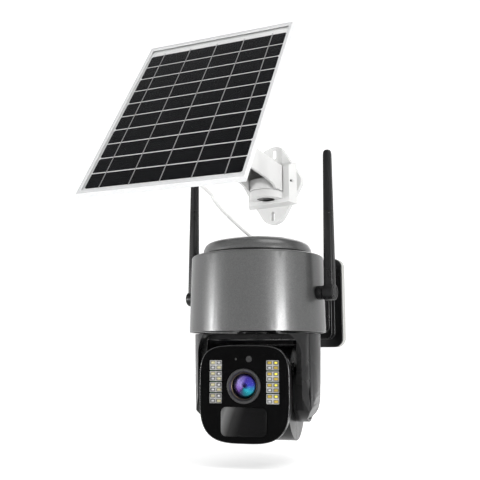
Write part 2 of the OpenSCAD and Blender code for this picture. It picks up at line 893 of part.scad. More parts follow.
// Bulged window of the motion sensor
module pir_lens()
  color([0.08, 0.08, 0.08])
    at_pan()
      intersection() {
        translate([0, 0, pir_z]) upright(-60, -face_y + 2.2) rounded(pir_w - 0.2, pir_h - 0.2, 4.9);
        translate([0, 42, pir_z]) sphere(r = 97.5, $fn = 360);
      }

// Small window of the light sensor
module light_sensor()
  color([0.2, 0.2, 0.22])
    at_pan() translate([4.5, 0, sensor_z]) along_y(3, -face_y + 0.4, -board_y, 32);

// Small board in the service bay with the card socket and the reset switch
module card_socket()
  color([0.6, 0.6, 0.6])
    at_pan() at_bay()
      difference() {
        union() {
          translate([-12, 20, -3.2]) cube([15, 13.6, 4.8]);
          translate([4, 24, -3.2]) cube([6, bay_floor - 7.2 - press - gap - 24, 4.8]);
          translate([-15, 18, -4.8]) cube([30, 16, 1.6]);
        }
        translate([-10.6, 21.8, -0.6]) cube([11.2, 20, 1.2]);
      }

// Blank memory card, seated in its socket
module memory_card()
  color([0.12, 0.12, 0.13])
    at_pan() at_bay() translate([-10.5, 22, -0.5])
      linear_extrude(1)
        polygon([[0, 0], [9, 0], [9, 4.5], [9.9, 5.5], [9.9, 7.2], [11, 8.2], [11, 15], [0, 15]]);

// Reset button in the service bay
module reset_button()
  color([0.75, 0.1, 0.1])
    at_pan() at_bay() translate([7, 0, 0]) {
      along_y(1.85, bay_floor - 6, bay_floor + 1.2, 32);
      along_y(2.6, bay_floor - 7.2, bay_floor - 6, 32);
    }

// Soft flap that closes the service bay, hinged on its lower edge
module card_flap()
  color([0.05, 0.05, 0.05])
    at_pan()
      intersection() {
        difference() {
          translate([0, 0, tilt_z]) along_x(drum_r, -30, 30);
          translate([0, 0, tilt_z]) along_x(drum_r - 2.4, -31, 31);
        }
        at_bay() translate([-bay_w / 2 + gap, 30, -bay_hh + gap])
          cube([bay_w - 2 * gap, 20, 2 * bay_hh - 2 * gap]);
      }

// ---------------------------------------------------------------- panel bracket

// Rhombus with round corners
module rhombus(w, h, r0, r1)
  hull() {
    for (z = [-1, 1]) translate([0, z * (h / 2 - r0)]) circle(r0);
    for (x = [-1, 1]) translate([x * (w / 2 - r1), 0]) circle(r1);
  }

// Slot for a wall screw, upright so that the bracket can be levelled
module wall_slot() {
  square([2 * slot_r, slot_l - 2 * slot_r], center = true);
  for (y = [-1, 1]) translate([0, y * (slot_l / 2 - slot_r)]) circle(slot_r, $fn = 48);
}

// White base: rhombic plate, flared neck and the disc that the arm turns on
module bracket_base()
  color([0.93, 0.93, 0.92])
    translate([mount_x, 0, 0])
      difference() {
        union() {
          translate([0, 0, mount_z]) upright(-base_t, 0) rhombus(mount_w, mount_h, 17, 12);
          intersection() {
            translate([0, 0, neck_z0 - 5])
              linear_extrude(neck_z1 - neck_z0 + 10)
                polygon([[-32, -base_t], [-27, -neck_y], [27, -neck_y], [32, -base_t]]);
            translate([-40, 0, 0]) rotate([90, 0, 90])
              linear_extrude(80)
                polygon([
                  [-base_t, neck_z0 - 2.5], [-base_t, neck_z1 + 4],
                  [-neck_y, neck_z1], [-neck_y, neck_z0]
                ]);
          }
          translate([0, -swivel_y, disc_z]) cylinder(r = disc_r, h = disc_t);
          translate([-disc_r, -swivel_y, disc_z]) cube([2 * disc_r, swivel_y - base_t, disc_t]);
        }
        for (z = [-1, 1])
          translate([0, 0, mount_z + z * slot_z]) upright(-base_t - 20, 1) wall_slot();
        translate([0, -swivel_y, disc_z - 1]) cylinder(r = 3.2, h = 20, $fn = 48);
        translate([0, -swivel_y, disc_z - 1]) cylinder(r = 10.2, h = 6);
        translate([0, -swivel_y, disc_z + disc_t]) cylinder(r = hub_r + 0.8, h = 60);
        translate([29.3, -12, mount_z]) rotate([0, 0, -62]) along_y(1.5, -5, 9, 24);
      }

// Bolt through the disc and the arm's hub, with its nut
module swivel_bolt()
  color([0.75, 0.75, 0.76])
    translate([mount_x, -swivel_y, 0]) {
      translate([0, 0, disc_z + 1]) cylinder(r = 5.8, h = 4, $fn = 6);
      translate([0, 0, disc_z + 1]) cylinder(r = 3, h = 28, $fn = 48);
      translate([0, 0, hub_z0 + hub_floor + gap]) cylinder(r = 5.8, h = 4.5, $fn = 6);
    }

// Side outline of the arm, first coordinate from the swivel axis towards the panel
module arm_side()
  polygon([
    [0, hub_z0], [-17.5, hub_z0], [-21, hub_z0 + 2.2], [-28, hub_z0 + 3.8], [-40, hub_z0 + 4.8],
    [-68, hub_z0 + 5.6], [-96, hub_z0 + 8], [-112, hub_z0 + 13],
    [-126, pivot_z - 11.5], [-tilt_y - 4, pivot_z - 9],
    [-tilt_y - 8, pivot_z - 5], [-tilt_y - 9, pivot_z + 1], [-tilt_y - 6, pivot_z + 6.6],
    [-tilt_y + 1, pivot_z + 9], [-tilt_y + 8, pivot_z + 7], [-tilt_y + 18, hub_z1 + 5],
    [-tilt_y + 32, hub_z1 + 1.2], [-84, hub_z1], [0, hub_z1]
  ]);

// Plan outline of the arm's beam, narrower at the hinge
module arm_plan(s)
  polygon([
    [-hub_r + s + 0.6, -2], [hub_r - s - 0.6, -2], [hub_r - s - 1, -70], [15 - s, -arm_len + 6],
    [15 - s, -150], [-15 + s, -150], [-15 + s, -arm_len + 6], [-hub_r + s + 1, -70]
  ]);

// White arm: a channel open underneath, with a hub and a fork for the panel hinge
module panel_arm()
  color([0.94, 0.94, 0.93])
    at_swivel()
      difference() {
        union() {
          translate([0, 0, hub_z0]) cylinder(r = hub_r, h = hub_z1 - hub_z0);
          intersection() {
            rotate([0, 0, 90]) upright(-40, 40) arm_side();
            linear_extrude(200) arm_plan(0);
          }
        }
        translate([0, 0, hub_z0 + hub_floor]) cylinder(r = hub_r - 3, h = hub_z1 - hub_z0 - hub_floor - 3);
        difference() {
          intersection() {
            translate([0, 0, hub_z0 - 4]) linear_extrude(hub_z1 - hub_z0 + 1) arm_plan(3);
            translate([-30, -100, 0]) cube([60, 130, 300]);
          }
          translate([0, 0, hub_z0 - 5]) cylinder(r = hub_r - 0.4, h = 5 + hub_floor);
        }
        translate([0, 0, hub_z0 - 1]) cylinder(r = 3 + run, h = 15, $fn = 48);
        translate([-lug_w / 2 - gap, -160, pivot_z - 30]) cube([lug_w + 2 * gap, 160 - fork_y, 60]);
        translate([0, -tilt_y, pivot_z]) along_x(2.5, -40, 40, 48);
      }

// Bolt of the panel hinge
module tilt_bolt()
  color([0.75, 0.75, 0.76])
    at_swivel() translate([0, -tilt_y, pivot_z]) {
      along_x(2.5, -15, 24, 48);
      along_x(4.6, -18.5, -15, 6);
    }

// Hand knob on the hinge bolt
module tilt_knob()
  color([0.1, 0.1, 0.1])
    at_swivel() translate([0, -tilt_y, pivot_z])
      difference() {
        union() {
          along_x(6, 15.3, 24, 48);
          for (a = [0:60:300]) rotate([a, 0, 0]) translate([0, 5.5, 0]) along_x(3, 18, 24, 24);
        }
        along_x(2.5 + run, 10, 30, 48);
      }

// Plate on the panel's back with the lug that turns on the hinge bolt
module hinge_plate()
  color([0.93, 0.93, 0.92]) {
    difference() {
      union() {
        at_panel() translate([hinge_x, 0, laminate_z - 3]) linear_extrude(3) rounded(56, 46, 5, $fn = 32);
        at_panel()
          translate([hinge_x, 0, 0])
            rotate([0, 90, 0])
              translate([0, 0, -lug_w / 2])
                linear_extrude(lug_w)
                  hull() {
                    translate([hinge_drop, 0]) circle(lug_w / 2, $fn = 48);
                    translate([-laminate_z + 2, 0]) square([1, 26], center = true);
                  }
      }
      at_panel() translate([hinge_x, 0, -hinge_drop]) along_x(2.5 + run, -20, 20, 48);
      at_panel() for (x = [-1, 1], y = [-1, 1])
        translate([hinge_x + x * 22, y * 17, -12]) cylinder(r = 1.7, h = 20, $fn = 24);
    }
  }

// Four screws of the hinge plate
module hinge_screws()
  color([0.6, 0.6, 0.62])
    at_panel()
      for (x = [-1, 1], y = [-1, 1])
        translate([hinge_x + x * 22, y * 17, laminate_z - 3]) mirror([0, 0, 1]) screw(3, 1.8, 1.5, 3);

// ---------------------------------------------------------------- solar panel

// Outline that keeps one mitred side of the frame, side 0 is at +x
module mitre(i) {
  w = panel_w / 2;
  l = panel_l / 2;
  c = 0.05;
  polygon(i % 2 == 0
    ? [[w + 5, l + 5 - c], [w - 20, l - 20 - c], [w - 20, -l + 20 + c], [w + 5, -l - 5 + c]]
    : [[-w - 5 + c, l + 5], [-w + 20 + c, l - 20], [w - 20 - c, l - 20], [w + 5 - c, l + 5]]);
}

// Four mitred aluminium rails, each with a lip over the laminate
module frame_rails()
  color([0.85, 0.86, 0.87])
    at_panel()
      for (i = [0:3])
        mirror([i == 2 ? 1 : 0, i == 3 ? 1 : 0, 0])
          translate([0, 0, -panel_t])
            intersection() {
              difference() {
                linear_extrude(panel_t) square([panel_w, panel_l], center = true);
                translate([0, 0, -1]) linear_extrude(panel_t + 1 - lip_t)
                  square([panel_w - 2 * rail_t, panel_l - 2 * rail_t], center = true);
                translate([0, 0, -1]) linear_extrude(panel_t + 2)
                  square([panel_w - 2 * lip_side, panel_l - 2 * lip_end], center = true);
              }
              linear_extrude(panel_t) mitre(i);
            }

// Angle keys that hold the rails together in the corners
module corner_keys()
  color([0.6, 0.6, 0.62])
    at_panel()
      for (x = [-1, 1], y = [-1, 1])
        translate([x * (panel_w / 2 - rail_t), y * (panel_l / 2 - rail_t), -panel_t + 0.2])
          mirror([x > 0 ? 1 : 0, 0, 0]) mirror([0, y > 0 ? 1 : 0, 0])
            linear_extrude(panel_t + laminate_z - 0.4) {
              square([18, 3]);
              square([3, 18]);
            }

// Pane of glass under the frame's lips
module panel_glass()
  color([0.75, 0.85, 0.9, 0.4])
    at_panel() pane(glass_z - glass_t, glass_z);

// Ten strips of cells with their five ribbons
module panel_cells()
  color([0.05, 0.06, 0.12])
    at_panel() {
      for (i = [0:cell_rows - 1])
        translate([-cell_w / 2, -panel_l / 2 + margin_low + i * (cell_h + cell_gap), cell_z])
          cube([cell_w, cell_h, cell_t]);
      for (i = [-2:2])
        translate([i * cell_w / 5 - 0.6, -panel_l / 2 + margin_low - 3, cell_z + cell_t])
          cube([1.2, cell_rows * (cell_h + cell_gap) + 4, ribbon_t]);
    }

// White backing sheet
module panel_backing()
  color([0.9, 0.9, 0.9])
    at_panel() pane(laminate_z, cell_z);

// Sheet that fills the frame between two heights
module pane(z0, z1)
  translate([0, 0, z0]) linear_extrude(z1 - z0)
    square([panel_w - 2 * rail_t - 0.2, panel_l - 2 * rail_t - 0.2], center = true);

// Box on the panel's back that the lead comes out of, with its gland
module junction_box()
  color([0.1, 0.1, 0.1])
    at_panel()
      difference() {
        union() {
          translate([box_x, box_y, laminate_z - 11]) linear_extrude(11) rounded(38, 28, 3, $fn = 32);
          translate([box_x, 0, gland_z]) {
            along_y(5, gland_y, box_y - 13, 32);
            along_y(4, gland_y - 5, gland_y, 32);
          }
        }
        translate([box_x, 0, gland_z]) along_y(lead_d / 2 + run, gland_y - 8, gland_y + 6, 32);
      }

// ---------------------------------------------------------------- panel lead

// Position in the row of a point given in panel coordinates
function on_panel(p) =
  let (a = 90 - panel_rise, b = panel_turn, z = p[2] + hinge_drop,
       across = p[0] - hinge_x, along = p[1] * cos(a) - z * sin(a) - tilt_y)
    [mount_x + across * cos(b) - along * sin(b),
     across * sin(b) + along * cos(b) - swivel_y,
     p[1] * sin(a) + z * cos(a) + pivot_z];

// Position in the row of a point given along and beside the socket's direction
function from_socket(p) =
  [p[0] * cos(socket_a) - p[1] * sin(socket_a),
   p[0] * sin(socket_a) + p[1] * cos(socket_a) - axis_d, socket_z + p[2]];

// Point at u between b and c on a smooth curve through a, b, c and d
function curve_point(a, b, c, d, u) =
  0.5 * (2 * b + (c - a) * u + (2 * a - 5 * b + 4 * c - d) * u * u
    + (3 * b - a - 3 * c + d) * u * u * u);

// Smooth route through hand set points, with the ends carried straight on
function smooth(p, n) =
  let (last = len(p) - 1)
    concat(
      [for (i = [0:last - 1], k = [0:n - 1])
        curve_point(i > 0 ? p[i - 1] : 2 * p[0] - p[1], p[i], p[i + 1],
          i < last - 1 ? p[i + 2] : 2 * p[last] - p[last - 1], k / n)],
      [p[last]]);

function unit(v) = v / norm(v);

// Round tube along a route, with every ring square to it
module tube(route, r, sides) {
  last = len(route) - 1;
  rings = [for (i = [0:last])
    let (t = unit(route[min(i + 1, last)] - route[max(i - 1, 0)]),
         u = unit(cross(t, [0.8, 0.6, 0.1])), v = cross(t, u))
      for (k = [0:sides - 1])
        route[i] + r * (cos(360 * k / sides) * u + sin(360 * k / sides) * v)];
  polyhedron(rings, concat(
    [[for (k = [0:sides - 1]) k]],
    [for (i = [0:last - 1], k = [0:sides - 1], h = [0, 1])
      let (a = i * sides + k, b = i * sides + (k + 1) % sides)
        h == 0 ? [a, a + sides, b] : [b, a + sides, b + sides]],
    [[for (k = [sides - 1:-1:0]) last * sides + k]]));
}

// Lead from the junction box down to the clip in line with the swivel axis
panel_route = [
  on_panel([box_x, gland_y - 4.5, gland_z]), on_panel([box_x, gland_y - 18, gland_z]),
  [-66, -192, 160], [-57, -187, 138], [-46, -174, 120], [-38, -160, 107], [-40, -143, 103],
  [-40.5, -136, 98], [-40, -126, 91.5], [-39.5, -114, 86], [-38.5, -98, 79], [-35.5, -84, 71.5],
  [-34.5, -66, 65], [-38, -48, 61], [-44, -32, 57], [mount_x, -swivel_y, 50], [mount_x, -swivel_y, 44],
  [mount_x, -swivel_y, clip_z]
];

module panel_lead()
  color([0.93, 0.93, 0.92]) tube(smooth(panel_route, 3), lead_d / 2, 8);

// Straight drop from the clip into the coil
drop_route = [[mount_x, -swivel_y, clip_z - gap], [mount_x, -swivel_y, 27], [mount_x, -swivel_y, 18.8]];

// End of the coil that goes to the plug
tail_route = [
  from_socket([plug_end - 2, 0, 0]), from_socket([plug_end + 5, 0, 0]),
  [-69.5, -36, 13.9], [-75.5, -33.4, 12.6], [-80.7, -31, 9], [-84, -29, 3.8],
  [-84.5, -27.4, -2.6], [-82, -25.8, -9]
];

module lead_tails()
  color([0.93, 0.93, 0.92]) {
    tube(drop_route, lead_d / 2, 8);
    tube(smooth(tail_route, 3), lead_d / 2, 8);
  }

// Spare lead, wound up behind the camera
module lead_coil()
  color([0.93, 0.93, 0.92])
    translate([coil_x, -coil_y, 0]) rotate([90, 0, 0])
      rotate_extrude($fn = 64)
        for (i = [0:3], k = [-2:2])
          translate([coil_r + (i - 2) * lead_d, k * lead_d]) circle(lead_d / 2 + 0.12, $fn = 16);

// Two ties around the coil
module coil_ties()
  color([0.9, 0.9, 0.9])
    translate([coil_x, -coil_y, 0])
      for (a = [110, 190])
        rotate([0, -a, 0])
          difference() {
            translate([coil_r - 2 * lead_d - 3.2, -10.2, -2]) cube([4 * lead_d + 3.2, 20.4, 4]);
            translate([coil_r - 2 * lead_d - 2.2, -9.2, -3]) cube([4 * lead_d + 1.2, 18.4, 6]);
          }

// Round power plug with its moulded grip
module lead_plug()
  color([0.07, 0.07, 0.07])
    at_axis() rotate([0, 0, socket_a]) translate([0, 0, socket_z])
      difference() {
        union() {
          along_x(plug_r - run, 57, housing_r + 2, 48);
          along_x(6, housing_r + 1.8, plug_end - 8, 48);
          along_x(3.6, plug_end - 8, plug_end, 32);
        }
        along_x(lead_d / 2, plug_end - 4, plug_end + 1, 32);
      }

wall_plate();
wall_bracket();
bracket_screws();
cable_clip();
housing_shell();
housing_cap();
cap_gasket();
housing_floor();
pan_bearing();
pan_motor();
pan_pinion();
main_board();
battery_cells();
battery_tray();
speaker();
power_socket();
antenna_bases();
antenna_left();
antenna_right();
yoke_frame();
yoke_covers();
pan_gear();
tilt_bearings();
tilt_motor();
tilt_pinion();
head_front_shell();
head_rear_shell();
face_plate();
tilt_axles();
tilt_gear();
lens_bezel();
lens_glass();
lens_barrel();
image_board();
front_board();
led_modules();
pir_lens();
light_sensor();
card_socket();
memory_card();
reset_button();
card_flap();
bracket_base();
swivel_bolt();
panel_arm();
tilt_bolt();
tilt_knob();
hinge_plate();
hinge_screws();
frame_rails();
corner_keys();
panel_glass();
panel_cells();
panel_backing();
junction_box();
panel_lead();
lead_tails();
lead_coil();
coil_ties();
lead_plug();
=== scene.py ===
import json
import math

import bmesh
import bpy
from mathutils import Matrix, Vector


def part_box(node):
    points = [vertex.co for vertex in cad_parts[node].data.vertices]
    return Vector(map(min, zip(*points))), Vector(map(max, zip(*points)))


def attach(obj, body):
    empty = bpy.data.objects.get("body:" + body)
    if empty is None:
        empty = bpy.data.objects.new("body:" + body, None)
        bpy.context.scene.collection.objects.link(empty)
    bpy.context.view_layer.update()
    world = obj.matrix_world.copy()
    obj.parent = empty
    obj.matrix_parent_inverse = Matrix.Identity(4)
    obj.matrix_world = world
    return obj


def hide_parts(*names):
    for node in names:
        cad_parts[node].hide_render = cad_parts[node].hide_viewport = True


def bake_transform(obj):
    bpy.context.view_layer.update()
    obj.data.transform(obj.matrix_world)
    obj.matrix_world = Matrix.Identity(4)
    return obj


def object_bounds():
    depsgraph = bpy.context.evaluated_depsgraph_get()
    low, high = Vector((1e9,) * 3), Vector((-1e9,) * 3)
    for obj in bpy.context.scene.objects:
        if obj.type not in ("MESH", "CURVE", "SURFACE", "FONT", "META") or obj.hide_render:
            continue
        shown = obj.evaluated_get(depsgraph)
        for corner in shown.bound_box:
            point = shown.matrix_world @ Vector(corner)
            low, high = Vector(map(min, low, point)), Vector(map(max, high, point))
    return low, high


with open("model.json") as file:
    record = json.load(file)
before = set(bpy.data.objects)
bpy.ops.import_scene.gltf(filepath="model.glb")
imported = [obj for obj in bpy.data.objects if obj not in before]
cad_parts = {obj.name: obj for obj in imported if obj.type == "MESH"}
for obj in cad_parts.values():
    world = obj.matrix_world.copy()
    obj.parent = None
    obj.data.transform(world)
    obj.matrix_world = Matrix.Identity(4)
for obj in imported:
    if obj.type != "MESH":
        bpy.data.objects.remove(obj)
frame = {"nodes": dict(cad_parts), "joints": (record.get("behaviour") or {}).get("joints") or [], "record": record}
cad_box = [list(corner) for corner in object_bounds()]

MM = 0.001
NODES = frame["nodes"]
JOINTS = {joint["name"]: joint for joint in frame["joints"]}
SLOT = {part["node"]: part["material_slot"] for part in frame["record"]["subparts"]}


# ------------------------------------------------------------------ places in the frame

def centre(node):
    """Middle of a CAD node's box."""
    low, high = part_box(node)
    return (low + high) / 2


def axes_matrix(origin, x, z):
    """Matrix of a local frame from its origin, its x direction and its z direction."""
    x, z = Vector(x).normalized(), Vector(z).normalized()
    y = z.cross(x)
    turn = Matrix((x, y, z)).transposed().to_4x4()
    return Matrix.Translation(origin) @ turn


def widest_normal(node):
    """Normal of the widest flat face of a node, turned towards -Y."""
    widest = max(NODES[node].data.polygons, key=lambda face: face.area)
    normal = Vector(widest.normal)
    return -normal if normal.y > 0 else normal


PAN_AXIS = Vector(JOINTS["pan"]["pos_m"])
PAN_AXIS.z = 0
TILT_ORIGIN = Vector(JOINTS["tilt"]["pos_m"])
TILT_DIRECTION = Vector(JOINTS["tilt"]["axis"])
SWIVEL = Vector(JOINTS["arm_swivel"]["pos_m"])
PANEL_NORMAL = widest_normal("panel_glass")
PANEL_ACROSS = Vector(JOINTS["panel_tilt"]["axis"])

AT_AXIS = Matrix.Translation(PAN_AXIS)
UPRIGHT = Matrix.Rotation(math.radians(90), 4, "X")
AT_PAN = axes_matrix(PAN_AXIS, TILT_DIRECTION, (0, 0, 1))
AT_FACE = AT_PAN @ UPRIGHT
HALF_GLASS = 1.75 * MM
AT_PANEL = axes_matrix(centre("panel_glass") + PANEL_NORMAL * HALF_GLASS, PANEL_ACROSS, PANEL_NORMAL)

# Face in millimetres: _HW and _HH are half sizes, _X runs across it, _Z is a height in the frame
FACE_Z = TILT_ORIGIN.z / MM
FACE_HW, FACE_HH, FACE_Y, FACE_T = 41, 42.5, 52, 2.5
LENS_Z, LENS_R = -82.5, 15.5
LED_X, LED_W, LED_H, LED_Z, LED_PITCH, LED_ROWS = 26, 11.4, 8.6, -64.3, 9.67, 4
PIR_Z, PIR_W, PIR_H = -113.2, 42, 25.5
PIR_SPHERE, PIR_TOP = 97.5, 55.5  # radius of the window's dome and how far forward its middle is
SENSOR_Z, EYE_X, MIC_X = -59, 4.5, -7.5

# Cell strips in millimetres, in the panel's frame: the first one starts at CELL_START
CELL_START, CELL_W, CELL_H, CELL_PITCH, CELL_TOP, CELL_ROWS = -107.25, 156.8, 19.5, 21, -2.4, 10

# Lower end of the yoke's arms in millimetres: a quarter ellipse, with the gear pocket inside it
ARM_X, ARM_Z, ARM_RX, ARM_RZ, POCKET_R = 43.85, -70, 16, 45.5, 24.5

ANTENNA_X = 77.2


# ------------------------------------------------------------------ camera

VIEW_PLACE = (0.3577, -0.7012, -0.0539)
VIEW_RISE, VIEW_TURN = 9.13, 33
FOCAL_LENGTH = 52.86


def make_camera():
    """Camera at the photograph's viewing angle, which looks up a little from below."""
    data = bpy.data.cameras.new("photo_camera")
    data.sensor_width = 36
    data.lens = FOCAL_LENGTH
    data.clip_start = 0.01
    camera = bpy.data.objects.new("photo_camera", data)
    camera.location = VIEW_PLACE
    camera.rotation_euler = (math.radians(90 + VIEW_RISE), 0, math.radians(VIEW_TURN))
    bpy.context.scene.collection.objects.link(camera)
    bpy.context.scene.camera = camera


make_camera()


# ------------------------------------------------------------------ mesh helpers

def mesh_object(name, mesh, sharp=35):
    """Object with smooth faces whose edges stay sharp above an angle in degrees."""
    mesh.name = name
    mesh.shade_smooth()
    mesh.set_sharp_from_angle(angle=math.radians(sharp))
    piece = bpy.data.objects.new(name, mesh)
    bpy.context.scene.collection.objects.link(piece)
    return piece


def from_bmesh(name, bm, sharp=35):
    """Object from a bmesh, with its faces turned outwards."""
    bmesh.ops.recalc_face_normals(bm, faces=bm.faces)
    mesh = bpy.data.meshes.new(name)
    bm.to_mesh(mesh)
    bm.free()
    return mesh_object(name, mesh, sharp)


def even_shading(piece):
    """Keeps flat faces evenly lit beside rounded edges."""
    modifier = piece.modifiers.new("even_shading", "WEIGHTED_NORMAL")
    modifier.keep_sharp = True
    return piece


def rounded(points, steps=6):
    """Closed outline of (x, y, radius) corners with each corner as an arc."""
    outline = []
    for i, (x, y, radius) in enumerate(points):
        here = Vector((x, y))
        before = Vector(points[i - 1][:2]) - here
        after = Vector(points[(i + 1) % len(points)][:2]) - here
        if radius <= 0:
            outline.append(here)
            continue
        opening = before.angle(after) / 2
        reach = min(radius / math.tan(opening), before.length * 0.499, after.length * 0.499)
        radius = reach * math.tan(opening)
        bisector = (before.normalized() + after.normalized()).normalized()
        middle = here + bisector * (radius / math.sin(opening))
        start = here + before.normalized() * reach - middle
        end = here + after.normalized() * reach - middle
        sweep = start.angle_signed(end)
        for k in range(steps + 1):
            turned = start.copy()
            turned.rotate(Matrix.Rotation(-sweep * k / steps, 2))
            outline.append(middle + turned)
    return [(p.x, p.y) for p in outline]


def rounded_box(w, h, r, x=0, y=0, steps=6):
    """Outline of a rounded rectangle."""
    return rounded([(x + w / 2, y + h / 2, r), (x - w / 2, y + h / 2, r),
                    (x - w / 2, y - h / 2, r), (x + w / 2, y - h / 2, r)], steps)


def turns(steps):
    """Angles of equal steps round a full turn."""
    return [2 * math.pi * k / steps for k in range(steps)]


def circle(r, x=0, y=0, steps=64):
    """Outline of a circle."""
    return [(x + r * math.cos(a), y + r * math.sin(a)) for a in turns(steps)]


def face_outline(half_w, half_h):
    """Outline of the camera's face: a superellipse, arched above and rounder below."""
    arched, rounder = 4.4, 3.3
    outline = []
    for a in turns(144):
        c, s = math.cos(a), math.sin(a)
        power = 2 / (arched if s > 0 else rounder)
        outline.append((math.copysign(abs(c) ** power, c) * half_w,
                        math.copysign(abs(s) ** power, s) * half_h))
    return outline


def plate(name, loops, low, high, matrix, edge=0.5, steps=2):
    """Flat plates in millimetres with rounded edges; a loop inside another one is its hole."""
    curve = bpy.data.curves.new(name, "CURVE")
    curve.dimensions = "2D"
    curve.fill_mode = "BOTH"
    curve.bevel_depth = edge
    curve.bevel_resolution = steps
    curve.offset = -edge
    curve.extrude = (high - low) / 2 - edge
    for loop in loops:
        spline = curve.splines.new("POLY")
        spline.points.add(len(loop) - 1)
        for point, (x, y) in zip(spline.points, loop):
            point.co = (x, y, 0, 1)
        spline.use_cyclic_u = True
    holder = bpy.data.objects.new(name, curve)
    bpy.context.scene.collection.objects.link(holder)
    graph = bpy.context.evaluated_depsgraph_get()
    mesh = bpy.data.meshes.new_from_object(holder.evaluated_get(graph))
    bpy.data.objects.remove(holder)
    bpy.data.curves.remove(curve)
    bm = bmesh.new()
    bm.from_mesh(mesh)
    bmesh.ops.remove_doubles(bm, verts=bm.verts, dist=0.002)
    bm.transform(matrix @ Matrix.Scale(MM, 4) @ Matrix.Translation((0, 0, (low + high) / 2)))
    return even_shading(from_bmesh(name, bm))


def lathe(name, profile, matrix, steps=128, sharp=35, closed=True):
    """Turned piece from a profile of (radius, height) in millimetres, about the local Z axis."""
    bm = bmesh.new()
    rings = [[bm.verts.new((r * math.cos(a), r * math.sin(a), z)) for r, z in profile]
             for a in turns(steps)]
    last = len(profile) if closed else len(profile) - 1
    for one, two in zip(rings, rings[1:] + rings[:1]):
        for i in range(last):
            j = (i + 1) % len(profile)
            bm.faces.new((one[i], two[i], two[j], one[j]))
    bmesh.ops.remove_doubles(bm, verts=bm.verts, dist=0.0005)
    bm.transform(matrix @ Matrix.Scale(MM, 4))
    return from_bmesh(name, bm, sharp)


def skin(bm, rings):
    """Faces between rings of equal counts, with one over each end."""
    for one, two in zip(rings, rings[1:]):
        for i in range(len(one)):
            j = (i + 1) % len(one)
            bm.faces.new((one[i], one[j], two[j], two[i]))
    bm.faces.new(rings[0])
    bm.faces.new(rings[-1])


def loft(name, sections, matrix, sharp=35):
    """Closed skin over rings of points in millimetres."""
    bm = bmesh.new()
    skin(bm, [[bm.verts.new(p) for p in ring] for ring in sections])
    bm.transform(matrix @ Matrix.Scale(MM, 4))
    return from_bmesh(name, bm, sharp)


def join(name, pieces):
    """One object from several."""
    bm = bmesh.new()
    graph = bpy.context.evaluated_depsgraph_get()
    for piece in pieces:
        bm.from_mesh(piece.evaluated_get(graph).to_mesh())
        bpy.data.objects.remove(piece)
    mesh = bpy.data.meshes.new(name)
    bm.to_mesh(mesh)
    bm.free()
    return even_shading(mesh_object(name, mesh))


def soften(node, width):
    """Copy of a CAD node whose sharp edges are rounded off by a width in millimetres."""
    angle = 30
    bm = bmesh.new()
    bm.from_mesh(NODES[node].data)
    bmesh.ops.remove_doubles(bm, verts=bm.verts, dist=0.003 * MM)
    bmesh.ops.dissolve_limit(bm, angle_limit=math.radians(0.5), verts=bm.verts, edges=bm.edges)
    bmesh.ops.dissolve_degenerate(bm, edges=bm.edges, dist=0.2 * MM)
    piece = from_bmesh(node + "_piece", bm, angle)
    bevel = piece.modifiers.new("soft_edges", "BEVEL")
    bevel.limit_method = "ANGLE"
    bevel.angle_limit = math.radians(angle)
    bevel.width = width * MM
    bevel.segments = 2
    bevel.use_clamp_overlap = False
    return even_shading(piece)


# ------------------------------------------------------------------ material helpers

def add(tree, kind, inputs=None, **settings):
    """New shader node; inputs maps socket names to values or to the sockets they are fed from."""
    made = tree.nodes.new("ShaderNode" + kind)
    for key, value in settings.items():
        setattr(made, key, value)
    for key, value in (inputs or {}).items():
        if isinstance(value, bpy.types.NodeSocket):
            tree.links.new(value, made.inputs[key])
        else:
            made.inputs[key].default_value = value
    return made


def new_material(name, **sockets):
    """Material with a Principled shader whose plain values are set on its own sockets."""
    material = bpy.data.materials.new(name)
    material.use_nodes = True
    tree = material.node_tree
    shader = tree.nodes["Principled BSDF"]
    for key, value in sockets.items():
        shader.inputs[key.replace("_", " ").title().replace("Ior", "IOR")].default_value = value
    return material, tree, shader


def tones(tree, source, stops):
    """Colour ramp over a value, from (place, colour) stops."""
    ramp = add(tree, "ValToRGB", {"Fac": source})
    while len(ramp.color_ramp.elements) < len(stops):
        ramp.color_ramp.elements.new(0.5)
    for element, (place, colour) in zip(ramp.color_ramp.elements, stops):
        element.position = place
        element.color = (*colour, 1)
    return ramp.outputs["Color"]


def spread(tree, source, low, high):
    """Value mapped from 0.3..0.7 to a range."""
    return add(tree, "MapRange", {"Value": source, "From Min": 0.3, "From Max": 0.7,
                                  "To Min": low, "To Max": high}).outputs["Result"]


def shade(colour, factor):
    """Colour made lighter or darker."""
    return tuple(min(1, c * factor) for c in colour)


def on_object(tree):
    """Coordinates of the object's own mesh, in metres."""
    return add(tree, "TexCoord").outputs["Object"]


def noise(tree, place, scale, detail, distortion=0.0):
    """Value of a noise texture."""
    return add(tree, "TexNoise", {"Vector": place, "Scale": scale, "Detail": detail,
                                  "Distortion": distortion}).outputs["Fac"]


def feed(tree, shader, colour, rough, height=None, strength=0.3, depth=0.02):
    """Feeds a shader its colour, its roughness and, from a height, its relief in millimetres."""
    tree.links.new(colour, shader.inputs["Base Color"])
    tree.links.new(rough, shader.inputs["Roughness"])
    if height is not None:
        bump = add(tree, "Bump", {"Height": height, "Strength": strength, "Distance": depth * MM})
        tree.links.new(bump.outputs["Normal"], shader.inputs["Normal"])


def moulded(name, colour, rough, grain, relief, tone, **sockets):
    """Moulded or painted surface: patchy tone, uneven gloss and a fine grain; sizes in millimetres."""
    material, tree, shader = new_material(name, **sockets)
    place = on_object(tree)
    patches = noise(tree, place, 38, 4)
    fine = noise(tree, place, 1 / (grain * MM), 3)
    base = tones(tree, patches, [(0.3, shade(colour, 1 - tone)), (0.7, shade(colour, 1 + tone))])
    feed(tree, shader, base, spread(tree, patches, rough * 0.82, rough * 1.18), fine, 0.35, relief)
    return material


